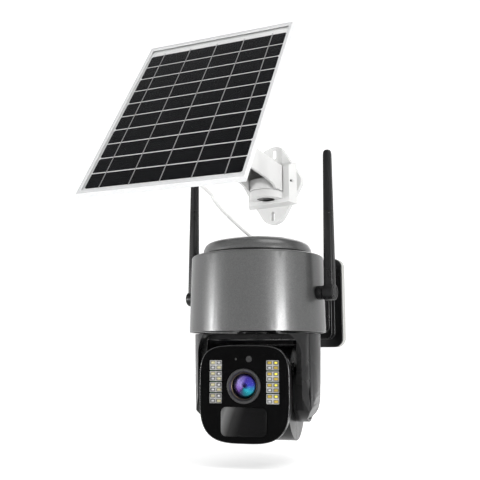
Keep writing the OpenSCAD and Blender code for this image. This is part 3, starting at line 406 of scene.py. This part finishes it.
def brushed(name, colour, rough, along, metallic=1.0):
    """Metal with a fine brushed grain along one direction."""
    material, tree, shader = new_material(name, metallic=metallic)
    scale = tuple(60 if a else 2600 for a in along)
    lines = add(tree, "Mapping", {"Vector": on_object(tree), "Scale": scale}).outputs["Vector"]
    grain = noise(tree, lines, 1, 2)
    base = tones(tree, grain, [(0.25, shade(colour, 0.86)), (0.75, shade(colour, 1.08))])
    feed(tree, shader, base, spread(tree, grain, rough * 0.8, rough * 1.25), grain, 0.25, 0.01)
    return material


def flaked_paint(name):
    """Grey metal paint: fine flakes, a slight orange peel and a satin coat."""
    material, tree, shader = new_material(name, metallic=0.6, coat_weight=0.15, coat_roughness=0.2)
    place = on_object(tree)
    flakes = add(tree, "TexVoronoi", {"Vector": place, "Scale": 2600}).outputs["Color"]
    grey = add(tree, "RGBToBW", {"Color": flakes}).outputs["Val"]
    base = tones(tree, grey, [(0.1, (0.066, 0.067, 0.068)), (0.9, (0.105, 0.105, 0.104))])
    patches = noise(tree, place, 30, 3)
    peel = noise(tree, place, 700, 2)
    feed(tree, shader, base, spread(tree, patches, 0.3, 0.37), peel)
    return material


def gloss_black(name):
    """Polished black plastic with faint smears in its gloss."""
    material, tree, shader = new_material(name, specular_ior_level=0.03)
    smears = noise(tree, on_object(tree), 55, 5, 0.8)
    base = tones(tree, smears, [(0.3, (0.0012, 0.0012, 0.0013)), (0.75, (0.002, 0.002, 0.0021))])
    feed(tree, shader, base, spread(tree, smears, 0.07, 0.15))
    return material


def board_green(name):
    """Circuit board: solder mask over a maze of copper traces."""
    material, tree, shader = new_material(name)
    traces = add(tree, "TexVoronoi", {"Vector": on_object(tree), "Scale": 420},
                 feature="DISTANCE_TO_EDGE").outputs["Distance"]
    base = tones(tree, traces, [(0.04, (0.03, 0.16, 0.06)), (0.10, (0.008, 0.055, 0.022))])
    feed(tree, shader, base, spread(tree, traces, 0.45, 0.3), traces, 0.3, 0.05)
    return material


def in_panel(tree):
    """Coordinates in the panel's own frame, in metres."""
    mapping = add(tree, "Mapping", {"Vector": on_object(tree), "Location": AT_PANEL.to_translation(),
                                    "Rotation": AT_PANEL.to_euler()}, vector_type="TEXTURE")
    return mapping.outputs["Vector"]


def solar_cell(name):
    """Blue-black silicon with fine silver fingers along the strip and faint crystal patches."""
    material, tree, shader = new_material(name, specular_ior_level=0.05)
    place = in_panel(tree)
    patches = noise(tree, place, 160, 6)
    silicon = tones(tree, patches, [(0.3, (0.0018, 0.002, 0.003)), (0.7, (0.006, 0.0062, 0.0075))])
    pitch = 3.2 * MM
    fingers = add(tree, "TexWave", {"Vector": place, "Scale": math.pi / (10 * pitch), "Distortion": 0.0},
                  bands_direction="Y").outputs["Fac"]
    line = add(tree, "MapRange", {"Value": fingers, "From Min": 0.96, "From Max": 1.0}).outputs["Result"]
    mix = add(tree, "Mix", {"Factor": line, "A": silicon, "B": (0.02, 0.021, 0.022, 1)}, data_type="RGBA")
    feed(tree, shader, mix.outputs["Result"], spread(tree, patches, 0.3, 0.42))
    return material


def on_face(tree, y):
    """Coordinates in millimetres on the face, from a point at a height on its middle line."""
    middle = AT_FACE @ Vector((0, y * MM, FACE_Y * MM))
    mapping = add(tree, "Mapping", {"Vector": on_object(tree), "Location": middle,
                                    "Rotation": AT_FACE.to_euler(), "Scale": (MM, MM, MM)},
                  vector_type="TEXTURE")
    return mapping.outputs["Vector"]


def lens_coating(name):
    """Coated inner lens: lavender above on the left, deep blue on the right, teal below it, under a painted
    highlight ring that is darker towards the middle and the rim.
    """
    material, tree, shader = new_material(name, metallic=0.8)
    place = on_face(tree, LENS_Z)
    swirl = add(tree, "TexNoise", {"Vector": place, "Scale": 0.16, "Detail": 3, "Distortion": 1.2})
    bent = add(tree, "Mix", {"Factor": 0.75, "A": place, "B": swirl.outputs["Color"]}, data_type="VECTOR")
    around = add(tree, "TexGradient", {"Vector": bent.outputs["Result"]},
                 gradient_type="RADIAL").outputs["Fac"]
    hues = tones(tree, around, [(0.0, (0.20, 0.11, 0.42)), (0.14, (0.05, 0.02, 0.12)),
                                (0.30, (0.01, 0.16, 0.20)), (0.42, (0.015, 0.32, 0.40)),
                                (0.55, (0.04, 0.05, 0.42)), (0.68, (0.05, 0.03, 0.30)),
                                (0.85, (0.32, 0.26, 0.62)), (1.0, (0.20, 0.11, 0.42))])
    split = add(tree, "SeparateXYZ", {"Vector": place})
    flat = add(tree, "CombineXYZ", {"X": split.outputs["X"], "Y": split.outputs["Y"]}).outputs["Vector"]
    away = add(tree, "VectorMath", {0: flat}, operation="LENGTH").outputs["Value"]
    wavy = add(tree, "Math", {0: swirl.outputs["Fac"], 1: 3.0, 2: away},
               operation="MULTIPLY_ADD").outputs["Value"]
    scaled = add(tree, "Math", {0: wavy, 1: 0.08}, operation="MULTIPLY").outputs["Value"]
    # painted highlight: a bright wavy ring round the middle, darker towards the centre and the rim
    light = tones(tree, scaled, [(0.2, (0.05, 0.05, 0.05)), (0.42, (1, 1, 1)), (0.78, (0.85, 0.85, 0.85)),
                                 (0.97, (0.08, 0.08, 0.08))])
    mix = add(tree, "Mix", {"Factor": 1.0, "A": hues, "B": light}, data_type="RGBA", blend_type="MULTIPLY")
    feed(tree, shader, mix.outputs["Result"], spread(tree, swirl.outputs["Fac"], 0.15, 0.3))
    return material


def sensor_window(name):
    """Smoked film of the motion sensor, with a painted highlight towards its upper left side that falls to near
    black on the right.
    """
    material, tree, shader = new_material(name, specular_ior_level=0.06)
    place = on_face(tree, PIR_Z)
    split = add(tree, "SeparateXYZ", {"Vector": place})
    lean = add(tree, "Math", {0: split.outputs["Y"], 1: 0.35}, operation="MULTIPLY").outputs["Value"]
    across = add(tree, "Math", {0: split.outputs["X"], 1: lean}, operation="SUBTRACT").outputs["Value"]
    grain = noise(tree, place, 1.5, 4)
    uneven = add(tree, "Math", {0: grain, 1: 2.5, 2: across}, operation="MULTIPLY_ADD").outputs["Value"]
    highlight_fall = add(tree, "MapRange", {"Value": uneven, "From Min": -24.0, "From Max": 24.0}).outputs["Result"]
    # painted highlight: lighter grey at the upper left side, falling to near black across the window
    base = tones(tree, highlight_fall, [(0.0, (0.04, 0.04, 0.04)), (0.12, (0.12, 0.12, 0.12)),
                              (0.3, (0.022, 0.022, 0.022)), (0.5, (0.004, 0.004, 0.0042)),
                              (1.0, (0.002, 0.002, 0.0021))])
    feed(tree, shader, base, spread(tree, grain, 0.2, 0.3))
    return material


def clear_pane(name):
    """Thin clear pane: it passes most light and mirrors a little, more at a glance."""
    material, tree, shader = new_material(name)
    film = noise(tree, on_object(tree), 60, 4)
    gloss = add(tree, "BsdfGlossy", {"Roughness": spread(tree, film, 0.16, 0.2)})
    clear = add(tree, "BsdfTransparent")
    edge = add(tree, "Fresnel", {"IOR": 1.07}).outputs["Fac"]
    mix = add(tree, "MixShader", {0: edge, 1: clear.outputs["BSDF"], 2: gloss.outputs["BSDF"]})
    tree.nodes.remove(shader)
    tree.links.new(mix.outputs["Shader"], tree.nodes["Material Output"].inputs["Surface"])
    return material


MATERIALS = {
    "bracket_grey": moulded("bracket_grey", (0.36, 0.36, 0.345), 0.42, 0.5, 0.02, 0.05),
    "bracket_black": moulded("bracket_black", (0.004, 0.004, 0.0042), 0.3, 0.3, 0.02, 0.2,
                             specular_ior_level=0.3),
    "housing_grey": flaked_paint("housing_grey"),
    "black_plastic": moulded("black_plastic", (0.0035, 0.0035, 0.0038), 0.3, 0.25, 0.012, 0.2,
                             specular_ior_level=0.25),
    "gloss_black": gloss_black("gloss_black"),
    "rubber_black": moulded("rubber_black", (0.008, 0.008, 0.0084), 0.6, 0.3, 0.03, 0.2,
                            specular_ior_level=0.25),
    "screw_steel": brushed("screw_steel", (0.62, 0.62, 0.63), 0.3, (0, 0, 1)),
    "bearing_steel": brushed("bearing_steel", (0.7, 0.7, 0.72), 0.18, (1, 1, 0)),
    "motor_steel": brushed("motor_steel", (0.55, 0.56, 0.57), 0.35, (0, 0, 1)),
    "brass": brushed("brass", (0.72, 0.48, 0.17), 0.26, (0, 0, 1)),
    "gear_acetal": moulded("gear_acetal", (0.78, 0.76, 0.68), 0.4, 0.4, 0.01, 0.05),
    "board_green": board_green("board_green"),
    "cell_blue": moulded("cell_blue", (0.02, 0.12, 0.35), 0.25, 0.8, 0.01, 0.12),
    "led_white": moulded("led_white", (0.34, 0.34, 0.33), 0.3, 0.6, 0.02, 0.45),
    "window_dark": moulded("window_dark", (0.0035, 0.0035, 0.0037), 0.22, 0.8, 0.004, 0.2,
                           specular_ior_level=0.35),
    "abs_white": moulded("abs_white", (0.54, 0.54, 0.535), 0.42, 0.4, 0.015, 0.03),
    "button_red": moulded("button_red", (0.45, 0.02, 0.02), 0.4, 0.3, 0.01, 0.1),
    "frame_aluminium": brushed("frame_aluminium", (0.66, 0.665, 0.67), 0.42, (1, 0, 0), 0.3),
    "panel_glass": clear_pane("panel_glass"),
    "lens_glass": clear_pane("lens_glass"),
    "solar_cell": solar_cell("solar_cell"),
    "backing_white": moulded("backing_white", (0.80, 0.80, 0.795), 0.5, 0.6, 0.01, 0.03),
    "lead_white": moulded("lead_white", (0.66, 0.66, 0.65), 0.42, 0.4, 0.01, 0.04),
}
RIBBON = brushed("ribbon_tin", (0.5, 0.5, 0.5), 0.45, (0, 1, 0))
PHOSPHOR = moulded("phosphor", (0.36, 0.26, 0.03), 0.5, 0.2, 0.02, 0.4)
PALE_PHOSPHOR = moulded("phosphor_pale", (0.40, 0.37, 0.22), 0.5, 0.2, 0.02, 0.3)
BRIGHT_PHOSPHOR = moulded("phosphor_bright", (0.80, 0.68, 0.06), 0.45, 0.2, 0.02, 0.15)
WELL = moulded("lamp_well", (0.12, 0.12, 0.12), 0.35, 0.5, 0.03, 0.6)
SILVER = brushed("led_silver", (0.55, 0.55, 0.55), 0.35, (0, 0, 1))
BEZEL = moulded("bezel_grey", (0.016, 0.016, 0.0165), 0.3, 0.3, 0.01, 0.15)
TRIM = brushed("lens_trim", (0.16, 0.12, 0.085), 0.35, (1, 1, 0))
# lighter, glossier copy of the face plate's black for its rim: a painted highlight along the edge, besides the
# real reflection of the lamps
RIM_HIGHLIGHT = moulded("rim_painted_highlight", (0.006, 0.006, 0.0063), 0.12, 0.5, 0.004, 0.2, specular_ior_level=0.9)
SENSOR = sensor_window("sensor_window")
COATING = lens_coating("lens_coating")


def finish_piece(piece, body, slot, *nodes, paint=None):
    """Gives a piece its slot's material or its own paint, its body, and the nodes it stands for."""
    piece.data.materials.clear()
    piece.data.materials.append(MATERIALS[slot] if paint is None else paint)
    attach(piece, body)
    if nodes:
        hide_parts(*nodes)
    return piece


def body_of(node):
    """Name of the body that a CAD node rides on."""
    bodies = frame["record"]["behaviour"]["bodies"]
    return next(name for name, members in bodies.items() if node in members)


# ------------------------------------------------------------------ cords

# Lead and coil in metres and degrees: the coil is wound in rows of side-by-side columns
LEAD_D = 0.0035
COIL_CENTRE = Vector((-0.070, -0.015, 0.0))
COIL_ROWS = (0.0255, 0.022, 0.0185, 0.015)
COIL_COLUMNS = (-0.022, -0.0185, -0.015, -0.0115, -0.008)
COIL_START, COIL_SHIFT, COIL_FIRST = 12.4, 30, 302

# From the junction box to the clip, cut in two at the point SPLIT: a part between panel and arm,
# and one between arm and wall from there on
UPPER_ROUTE = [
    (-0.06854, -0.17043, 0.19221), (-0.06726, -0.17781, 0.18098), (-0.066, -0.192, 0.160),
    (-0.057, -0.187, 0.138), (-0.046, -0.174, 0.120), (-0.038, -0.160, 0.107),
    (-0.040, -0.143, 0.103), (-0.0405, -0.136, 0.098), (-0.040, -0.126, 0.0915),
    (-0.0395, -0.114, 0.086), (-0.0385, -0.098, 0.079), (-0.0355, -0.084, 0.0715),
    (-0.0345, -0.066, 0.065), (-0.038, -0.048, 0.061), (-0.044, -0.032, 0.057),
    (-0.048, -0.022, 0.050), (-0.048, -0.022, 0.044), (-0.048, -0.022, 0.038),
]
SPLIT = 3
TAIL_ROUTE = [
    (-0.0845, -0.0274, -0.0026), (-0.084, -0.029, 0.0038), (-0.0807, -0.031, 0.009),
    (-0.0755, -0.0334, 0.0126), (-0.0695, -0.036, 0.0139),
    (-0.06218, -0.03941, 0.013), (-0.05787, -0.04493, 0.013),
]


def smooth(points, steps):
    """Catmull-Rom curve through points, in steps between them, with its ends carried straight on."""
    points = [Vector(p) for p in points]
    padded = [2 * points[0] - points[1], *points, 2 * points[-1] - points[-2]]
    curve = []
    for a, b, c, d in zip(padded, padded[1:], padded[2:], padded[3:]):
        for k in range(steps):
            u = k / steps
            curve.append(0.5 * (2 * b + (c - a) * u + (2 * a - 5 * b + 4 * c - d) * u * u
                                + (3 * b - a - 3 * c + d) * u ** 3))
    curve.append(points[-1])
    return curve


def tube(name, path, radius, sides=16):
    """Round tube along a path, its rings carried on without twist."""
    bm = bmesh.new()
    side = Vector((0.8, 0.6, 0.1))
    rings = []
    for i, point in enumerate(path):
        ahead = path[min(i + 1, len(path) - 1)] - path[max(i - 1, 0)]
        ahead.normalize()
        side = (side - ahead * side.dot(ahead)).normalized()
        up = ahead.cross(side)
        rings.append([bm.verts.new(point + radius * (math.cos(a) * side + math.sin(a) * up))
                      for a in turns(sides)])
    skin(bm, rings)
    return from_bmesh(name, bm, 60)


def coil_point(angle, radius, depth):
    """Point of the coil at an angle in degrees, wound clockwise as seen from in front."""
    turn = math.radians(COIL_START - angle)
    return Vector((COIL_CENTRE.x + radius * math.cos(turn), depth, COIL_CENTRE.z + radius * math.sin(turn)))


def coil_path():
    """The winding and its last angle: it moves over a column each turn, and in a row at the ends."""
    step = 10
    moves = []
    column = 0
    start = COIL_FIRST
    for row in range(len(COIL_ROWS)):
        way = 1 if row % 2 == 0 else -1
        for k in range(len(COIL_COLUMNS) - 1):
            moves.append((start + 360 * k, "column", column, column + way))
            column += way
        end = start + 360 * (len(COIL_COLUMNS) - 1)
        if row < len(COIL_ROWS) - 1:
            moves.append((end - COIL_SHIFT, "row", row, row + 1))
            start = end + 360 - 2 * COIL_SHIFT
    last = end - COIL_SHIFT
    path = []
    for k in range(int(last / step) + 1):
        angle = k * step
        radius, depth = COIL_ROWS[0], COIL_COLUMNS[0]
        for begin, kind, old, new in moves:
            part = min(max((angle - begin) / COIL_SHIFT, 0), 1)
            part = part * part * (3 - 2 * part)
            values = COIL_COLUMNS if kind == "column" else COIL_ROWS
            if part > 0:
                value = values[old] + (values[new] - values[old]) * part
                radius, depth = (radius, value) if kind == "column" else (value, depth)
        path.append(coil_point(angle, radius, depth))
    return path, last


def coil_lead_path():
    """Centreline from the clip down into the coil, round it and out to the plug."""
    top = UPPER_ROUTE[-1][2]
    drop = [(-0.048, -0.022, top), (-0.048, -0.022, 0.031), (-0.048, -0.022, 0.025),
            (-0.0476, -0.022, 0.0188), (-0.0464, -0.022, 0.012)]
    winding, last = coil_path()
    leaving = [
        coil_point(last + 12, 0.0150, -0.0225), coil_point(last + 35, 0.0149, -0.0245),
        coil_point(last + 60, 0.0147, -0.0262),
    ]
    joined = [Vector(p) for p in drop] + winding[::3] + leaving + [Vector(p) for p in TAIL_ROUTE]
    return smooth(joined, 4)


def blended_lead(name, path):
    """Part of the panel's lead, a tube from its first to its last point."""
    piece = tube(name, path, LEAD_D / 2)
    piece.data.materials.append(MATERIALS["lead_white"])
    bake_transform(piece)
    return piece


def make_cords():
    """The panel's lead in two parts, then the coil with the plug."""
    steps = 5
    whole = smooth(UPPER_ROUTE, steps)
    panel_end = whole[:SPLIT * steps + 1]
    long_run = whole[SPLIT * steps:]
    upper = blended_lead("lead_at_panel", panel_end)
    lower = blended_lead("lead_to_clip", long_run)
    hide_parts("panel_lead")
    coil = coil_lead_path()
    wound = tube("lead_wound", coil, LEAD_D / 2, 12)
    finish_piece(wound, "base", "lead_white", "lead_coil", "lead_tails")


make_cords()


# ------------------------------------------------------------------ stage and light

def make_stage():
    """Plain pale floor that rises far away on all sides."""
    floor = cad_box[0][2] - 0.02
    flat, bend, wall = 2500, 900, 2600
    profile = [(0, 0)]
    profile += [(flat + bend * math.sin(math.radians(a)), bend - bend * math.cos(math.radians(a)))
                for a in range(0, 91, 10)]
    profile.append((flat + bend, wall))
    bowl = lathe("stage_floor", profile, Matrix.Translation((0, -0.1, floor)), 96, 60, False)
    material, tree, shader = new_material("stage_white", roughness=0.9, emission_color=(1, 1, 1, 1),
                                          emission_strength=0.36)
    tone = noise(tree, on_object(tree), 3, 2)
    tree.links.new(tones(tree, tone, [(0.3, (0.86, 0.86, 0.86)), (0.7, (0.88, 0.88, 0.88))]),
                   shader.inputs["Base Color"])
    bowl.data.materials.append(material)


def area_light(name, azimuth, height, distance, size, power):
    """Soft rectangular lamp that looks at the object's middle from an azimuth."""
    target = Vector((0, -0.12, 0.04))
    data = bpy.data.lights.new(name, "AREA")
    data.shape = "RECTANGLE"
    data.size, data.size_y = size
    data.energy = power
    lamp = bpy.data.objects.new(name, data)
    a = math.radians(azimuth)
    lamp.location = target + Vector((math.sin(a) * distance, -math.cos(a) * distance, height))
    lamp.rotation_euler = (target - lamp.location).to_track_quat("-Z", "Y").to_euler()
    bpy.context.scene.collection.objects.link(lamp)


def make_light():
    """White surround, a large lamp above and narrow ones that draw bands on the housing."""
    world = bpy.data.worlds.new("studio")
    world.use_nodes = True
    world.node_tree.nodes["Background"].inputs["Color"].default_value = (1, 1, 1, 1)
    world.node_tree.nodes["Background"].inputs["Strength"].default_value = 0.35
    bpy.context.scene.world = world
    bpy.context.scene.view_settings.view_transform = "Standard"
    area_light("left_strip", -48, -0.08, 1.1, (0.13, 0.26), 6)
    area_light("right_strip", 68, -0.08, 1.1, (0.22, 0.26), 8)
    area_light("top", 75, 1.3, 0.7, (1.0, 1.0), 10)
    area_light("back", 205, 0.7, 1.3, (0.9, 0.9), 5)


make_stage()
make_light()


# ------------------------------------------------------------------ solar panel

def strip_outline(index):
    """Outline of one cell strip; every second strip ends a wafer and has its corners cut."""
    y0 = CELL_START + index * CELL_PITCH
    y1, x, cut = y0 + CELL_H, CELL_W / 2, 1.6
    low, high = (cut, 0) if index % 2 == 0 else (0, cut)
    outline = [(x, y0 + low), (x, y1 - high), (x - high, y1), (-x + high, y1),
               (-x, y1 - high), (-x, y0 + low), (-x + low, y0), (x - low, y0)]
    return [p for i, p in enumerate(outline) if p != outline[i - 1]]


def make_panel():
    """Cell strips with chamfered wafer corners under five tinned ribbons."""
    outlines = [strip_outline(i) for i in range(CELL_ROWS)]
    strips = plate("cell_strips", outlines, CELL_TOP - 0.25, CELL_TOP, AT_PANEL, 0.04, 0)
    finish_piece(strips, "panel", "solar_cell", "panel_cells")
    low, high = CELL_START - 2.75, CELL_START + CELL_ROWS * CELL_PITCH + 1.25
    loops = [rounded_box(1.1, high - low, 0.2, i * CELL_W / 5, (low + high) / 2, 2) for i in range(-2, 3)]
    ribbons = plate("cell_ribbons", loops, CELL_TOP, CELL_TOP + 0.1, AT_PANEL, 0.03, 0)
    finish_piece(ribbons, "panel", "screw_steel", "panel_cells", paint=RIBBON)


# ------------------------------------------------------------------ housing lid and antennas

def make_cap():
    """Domed lid with a soft shoulder."""
    profile = [(0, 55.5), (8, 55.45), (14, 55.3), (20, 55.05), (26, 54.7), (31, 54.3), (36, 53.75),
               (40, 53.1), (44, 52.2), (46.5, 51.3), (48.5, 50.2), (50, 49), (51, 47.6), (51.8, 46),
               (52.4, 44.2), (52.6, 42.4), (52.6, 41), (52.3, 40.6), (48.8, 40.6), (48.8, 35.5),
               (46.8, 35.5), (46.8, 43.6), (46, 47), (40, 50.3), (0, 52.9)]
    finish_piece(lathe("lid", profile, AT_AXIS), "base", "housing_grey", "housing_cap")


def antenna_section(x, w, d, r, z):
    """Rounded section of an antenna: its place, width, depth, corner radius and height."""
    return [(x + px, py, z) for px, py in rounded_box(w, d, r, steps=5)]


def make_antenna(name, side):
    """Tapered whip on a round knuckle with a pin in its middle."""
    x = ANTENNA_X * side
    sections = [(9.0, 8.4, 2.4, -3.2), (10, 9.4, 3, 0), (10, 9.4, 3, 2), (9.5, 9, 2.9, 30),
                (9, 8.6, 2.8, 60), (8.3, 7.9, 2.7, 96), (7.6, 7.2, 2.6, 131), (7.0, 6.6, 2.5, 132.8),
                (5.8, 5.4, 2.3, 134.2), (4.0, 3.8, 1.7, 134.8)]
    rings = [antenna_section(x, *section) for section in sections]
    rod = loft(name + "_rod", rings, AT_AXIS)
    turn = Matrix.Rotation(math.radians(90), 4, "Y")
    profile = [(2.55, -5), (6.6, -5), (7.2, -4.7), (7.4, -4.2), (7.4, 4.2), (7.2, 4.7), (6.6, 5),
               (5.6, 5), (5.4, 4.6), (4.6, 4.6), (4.4, 5), (2.55, 5)]
    at_knuckle = AT_AXIS @ Matrix.Translation((x * MM, 0, 1 * MM)) @ turn
    knuckle = lathe(name + "_knuckle", profile, at_knuckle, 72)
    finish_piece(join(name + "_piece", [rod, knuckle]), name, SLOT[name], name)


def make_recess_shade():
    """Black disc in the recess under the bracket's disc: painted shade where the recess is dark inside."""
    profile = [(0, 120.5), (8.6, 120.5), (9.1, 120.2), (9.8, 120.2), (9.9, 120.4), (9.9, 121), (0, 121)]
    # the disc is painted shade for the dark inside of the bolt recess
    at_recess = Matrix.Translation((SWIVEL.x, SWIVEL.y, 0))
    finish_piece(lathe("recess_shade_disc", profile, at_recess, 64), "base", "bracket_black")


def make_set_screw():
    """Black locking screw, sunk in the side of the white neck, with its round socket."""
    mouth = (SWIVEL.x + 29.3 * MM, -12 * MM, 140.5 * MM)
    outwards = (0.883, 0.469, 0)
    at_hole = axes_matrix(mouth, (0, 0, 1), outwards)
    profile = [(0, -5), (1.4, -5), (1.4, -1.1), (1.2, -0.9), (0.75, -0.9), (0.7, -2), (0, -2)]
    finish_piece(lathe("set_screw", profile, at_hole, 24), "base", "bracket_black")


# ------------------------------------------------------------------ face, lens and lamps

def lifted(outline, dy):
    """Outline moved up."""
    return [(x, y + dy) for x, y in outline]


def make_face_plate():
    """Glossy front plate with a rounded rim and its windows."""
    rise = (LED_ROWS - 1) * LED_PITCH
    windows = [rounded_box(LED_W, LED_H + rise, 0.6, x, LED_Z - rise / 2) for x in (-LED_X, LED_X)]
    loops = [lifted(face_outline(FACE_HW - 0.6, FACE_HH - 0.6), FACE_Z), *windows,
             circle(LENS_R, 0, LENS_Z, 96), rounded_box(PIR_W, PIR_H, 5, 0, PIR_Z, 10),
             circle(3, EYE_X, SENSOR_Z, 32), circle(1.2, MIC_X, SENSOR_Z, 20)]
    piece = plate("front_plate", loops, FACE_Y - FACE_T, FACE_Y, AT_FACE, 0.2, 2)
    finish_piece(piece, "head", "gloss_black", "face_plate")
    # The rim is painted highlight: the plate's black made lighter and glossier along its edge.
    edges = [lifted(face_outline(FACE_HW - d, FACE_HH - d), FACE_Z) for d in (0, 0.7)]
    rim = plate("front_rim", edges, FACE_Y - FACE_T + 0.1, FACE_Y - 0.05, AT_FACE, 0.34, 3)
    finish_piece(rim, "head", "gloss_black", "face_plate", paint=RIM_HIGHLIGHT)


def make_sensors():
    """Domed motion window, the light sensor's disc and the microphone's pierced disc."""
    full = rounded_box(PIR_W - 0.2, PIR_H - 0.2, 4.9, steps=8)
    rings = [[(x, y + PIR_Z, 49.8) for x, y in full]]
    for scale, drop in ((1, 0.5), (0.992, 0.15), (0.98, 0), (0.85, 0), (0.65, 0), (0.45, 0),
                        (0.25, 0), (0.05, 0)):
        rings.append([(x * scale, y * scale + PIR_Z,
                       PIR_TOP - PIR_SPHERE - drop
                       + math.sqrt(PIR_SPHERE ** 2 - (x * scale) ** 2 - (y * scale) ** 2))
                      for x, y in full])
    window = loft("motion_window", rings, AT_FACE, 50)
    finish_piece(window, "head", SLOT["pir_lens"], "pir_lens", paint=SENSOR)
    profile = [(0, 50), (2.9, 50), (2.9, 51.4), (2.7, 51.6), (1.3, 51.6), (1.1, 51.2), (0, 51.1)]
    at_eye = AT_FACE @ Matrix.Translation((EYE_X * MM, SENSOR_Z * MM, 0))
    finish_piece(lathe("light_eye", profile, at_eye, 48), "head", SLOT["light_sensor"], "light_sensor",
                 paint=BEZEL)
    holes = [circle(0.16, x, y, 10) for x, y in circle(0.55, MIC_X, SENSOR_Z, 6)]
    disc = plate("mic_disc", [circle(1.15, MIC_X, SENSOR_Z, 24), *holes], 50.2, 50.5, AT_FACE, 0.04, 0)
    finish_piece(disc, "head", "screw_steel", paint=WELL)


def make_lens():
    """Bezel with its trim ring, stepped baffle and coated inner lens; the clear front dome is the CAD node."""
    at_lens = AT_FACE @ Matrix.Translation((0, LENS_Z * MM, 0))
    bezel = lathe("bezel", [(11.2, 44), (15.4, 44), (15.4, 52.5), (15.1, 53), (14.6, 53.2), (13.6, 53.2),
                            (13.1, 53), (12.6, 52.2), (12.4, 51.6), (11.9, 50.9), (11.2, 50.6)], at_lens)
    finish_piece(bezel, "head", SLOT["lens_bezel"], "lens_bezel", paint=BEZEL)
    ring = [(11.25, 50.2), (11.7, 50.2), (11.7, 51), (11.5, 51.2), (11.25, 51)]
    finish_piece(lathe("bezel_trim", ring, at_lens), "head", SLOT["lens_bezel"], paint=TRIM)
    steps = [(5.2, 26.4), (9, 26.4), (9, 40), (11, 41), (11, 46.4)]
    for k in range(6):
        steps += [(10.6 - 0.85 * k, 46.2 - 0.95 * k), (10.4 - 0.85 * k, 45.4 - 0.95 * k)]
    steps.append((5.2, 40))
    finish_piece(lathe("baffle", steps, at_lens, 96), "head", SLOT["lens_barrel"], "lens_barrel")
    dome = [(0, 49.6), (3, 49.45), (6, 49), (8.5, 48.3), (10.2, 47.5), (10.9, 46.9), (10.9, 46.5),
            (0, 46.5)]
    finish_piece(lathe("inner_lens", dome, at_lens, 96, 60), "head", "lens_glass", paint=COATING)


def make_lamps():
    """Eight lamp modules, each with four wells that hold a phosphor or a silver die."""
    bodies, bases, dies = [], [], {"ochre": [], "pale": [], "bright": [], "silver": []}
    kinds = {-1: ("pale", "silver", "silver", "pale"), 1: ("ochre", "bright", "silver", "ochre")}
    wall = 1.1
    for side in (-1, 1):
        for row in range(LED_ROWS):
            x, y = side * LED_X, LED_Z - row * LED_PITCH
            wells = [(x + dx * LED_W / 4, y + dy * LED_H / 4) for dy in (1, -1) for dx in (-1, 1)]
            name = f"lamp_{row}_{'right' if side > 0 else 'left'}"
            rim = [rounded_box(LED_W, LED_H, 0.4, x, y)]
            rim += [rounded_box(LED_W / 2 - wall, LED_H / 2 - wall, 0.5, *well) for well in wells]
            bodies.append(plate(name, rim, 50.5, 51.5, AT_FACE, 0.12, 1))
            bases.append(plate(name + "_base", rim[:1], 46, 50.5, AT_FACE, 0.1, 0))
            for place, kind in zip(wells, kinds[side]):
                w, h = (3.4, 2.2) if kind in ("ochre", "pale") else (2.4, 1.7)
                die = plate(name + kind, [rounded_box(w, h, 0.3, *place)], 50.4, 51.1, AT_FACE, 0.12, 1)
                dies[kind].append(die)
    finish_piece(join("lamp_bodies", bodies), "head", "led_white", "led_modules")
    finish_piece(join("lamp_floors", bases), "head", "led_white", "led_modules", paint=WELL)
    paints = {"ochre": PHOSPHOR, "pale": PALE_PHOSPHOR, "bright": BRIGHT_PHOSPHOR, "silver": SILVER}
    for kind, members in dies.items():
        piece = join("lamp_dies_" + kind, members)
        finish_piece(piece, "head", "led_white", "led_modules", paint=paints[kind])


# ------------------------------------------------------------------ yoke

def make_cover_lips():
    """Curved pieces that close the lower ends of the yoke's arms, where the gear pocket runs out."""
    lips = []
    for side in (-1, 1):
        rings = []
        for angle in range(50, 74, 2):
            turn = math.radians(angle)
            x, z = ARM_X + ARM_RX * math.cos(turn), ARM_Z - ARM_RZ * math.sin(turn)
            reach = math.sqrt(POCKET_R ** 2 - (z - FACE_Z) ** 2) + 0.3
            corners = [(x - 1.8, -reach), (x, -reach), (x, reach), (x - 1.8, reach)]
            rings.append([(side * across, y, z) for across, y in corners[::side]])
        lips.append(loft(f"cover_lip_{side}", rings, AT_PAN))
    finish_piece(join("cover_lips", lips), "yoke", SLOT["yoke_covers"])


# ------------------------------------------------------------------ CAD nodes with better edges

EDGES = {
    "wall_plate": 1.0, "wall_bracket": 0.7, "cable_clip": 0.25, "housing_shell": 0.4,
    "yoke_frame": 0.35, "yoke_covers": 0.4, "head_front_shell": 0.35, "head_rear_shell": 0.35,
    "bracket_base": 0.35, "panel_arm": 0.5, "hinge_plate": 0.4, "junction_box": 0.5,
    "frame_rails": 0.2, "antenna_bases": 0.3, "tilt_knob": 0.3,
    "power_socket": 0.25, "card_flap": 0.2, "bracket_screws": 0.1,
    "housing_floor": 0.2, "swivel_bolt": 0.15, "tilt_bolt": 0.15, "hinge_screws": 0.1,
    "memory_card": 0.06, "card_socket": 0.15, "main_board": 0.1, "front_board": 0.1,
}


def dress_cad_nodes():
    """Gives every CAD node its slot's material."""
    for name, piece in NODES.items():
        piece.data.materials.clear()
        piece.data.materials.append(MATERIALS[SLOT[name]])


def soften_nodes():
    """Replaces the nodes in EDGES by copies with rounded edges."""
    for name, width in EDGES.items():
        finish_piece(soften(name, width), body_of(name), SLOT[name], name)


make_panel()
make_cap()
make_antenna("antenna_left", -1)
make_antenna("antenna_right", 1)
make_recess_shade()
make_set_screw()
make_face_plate()
make_sensors()
make_lens()
make_lamps()
dress_cad_nodes()
soften_nodes()
make_cover_lips()
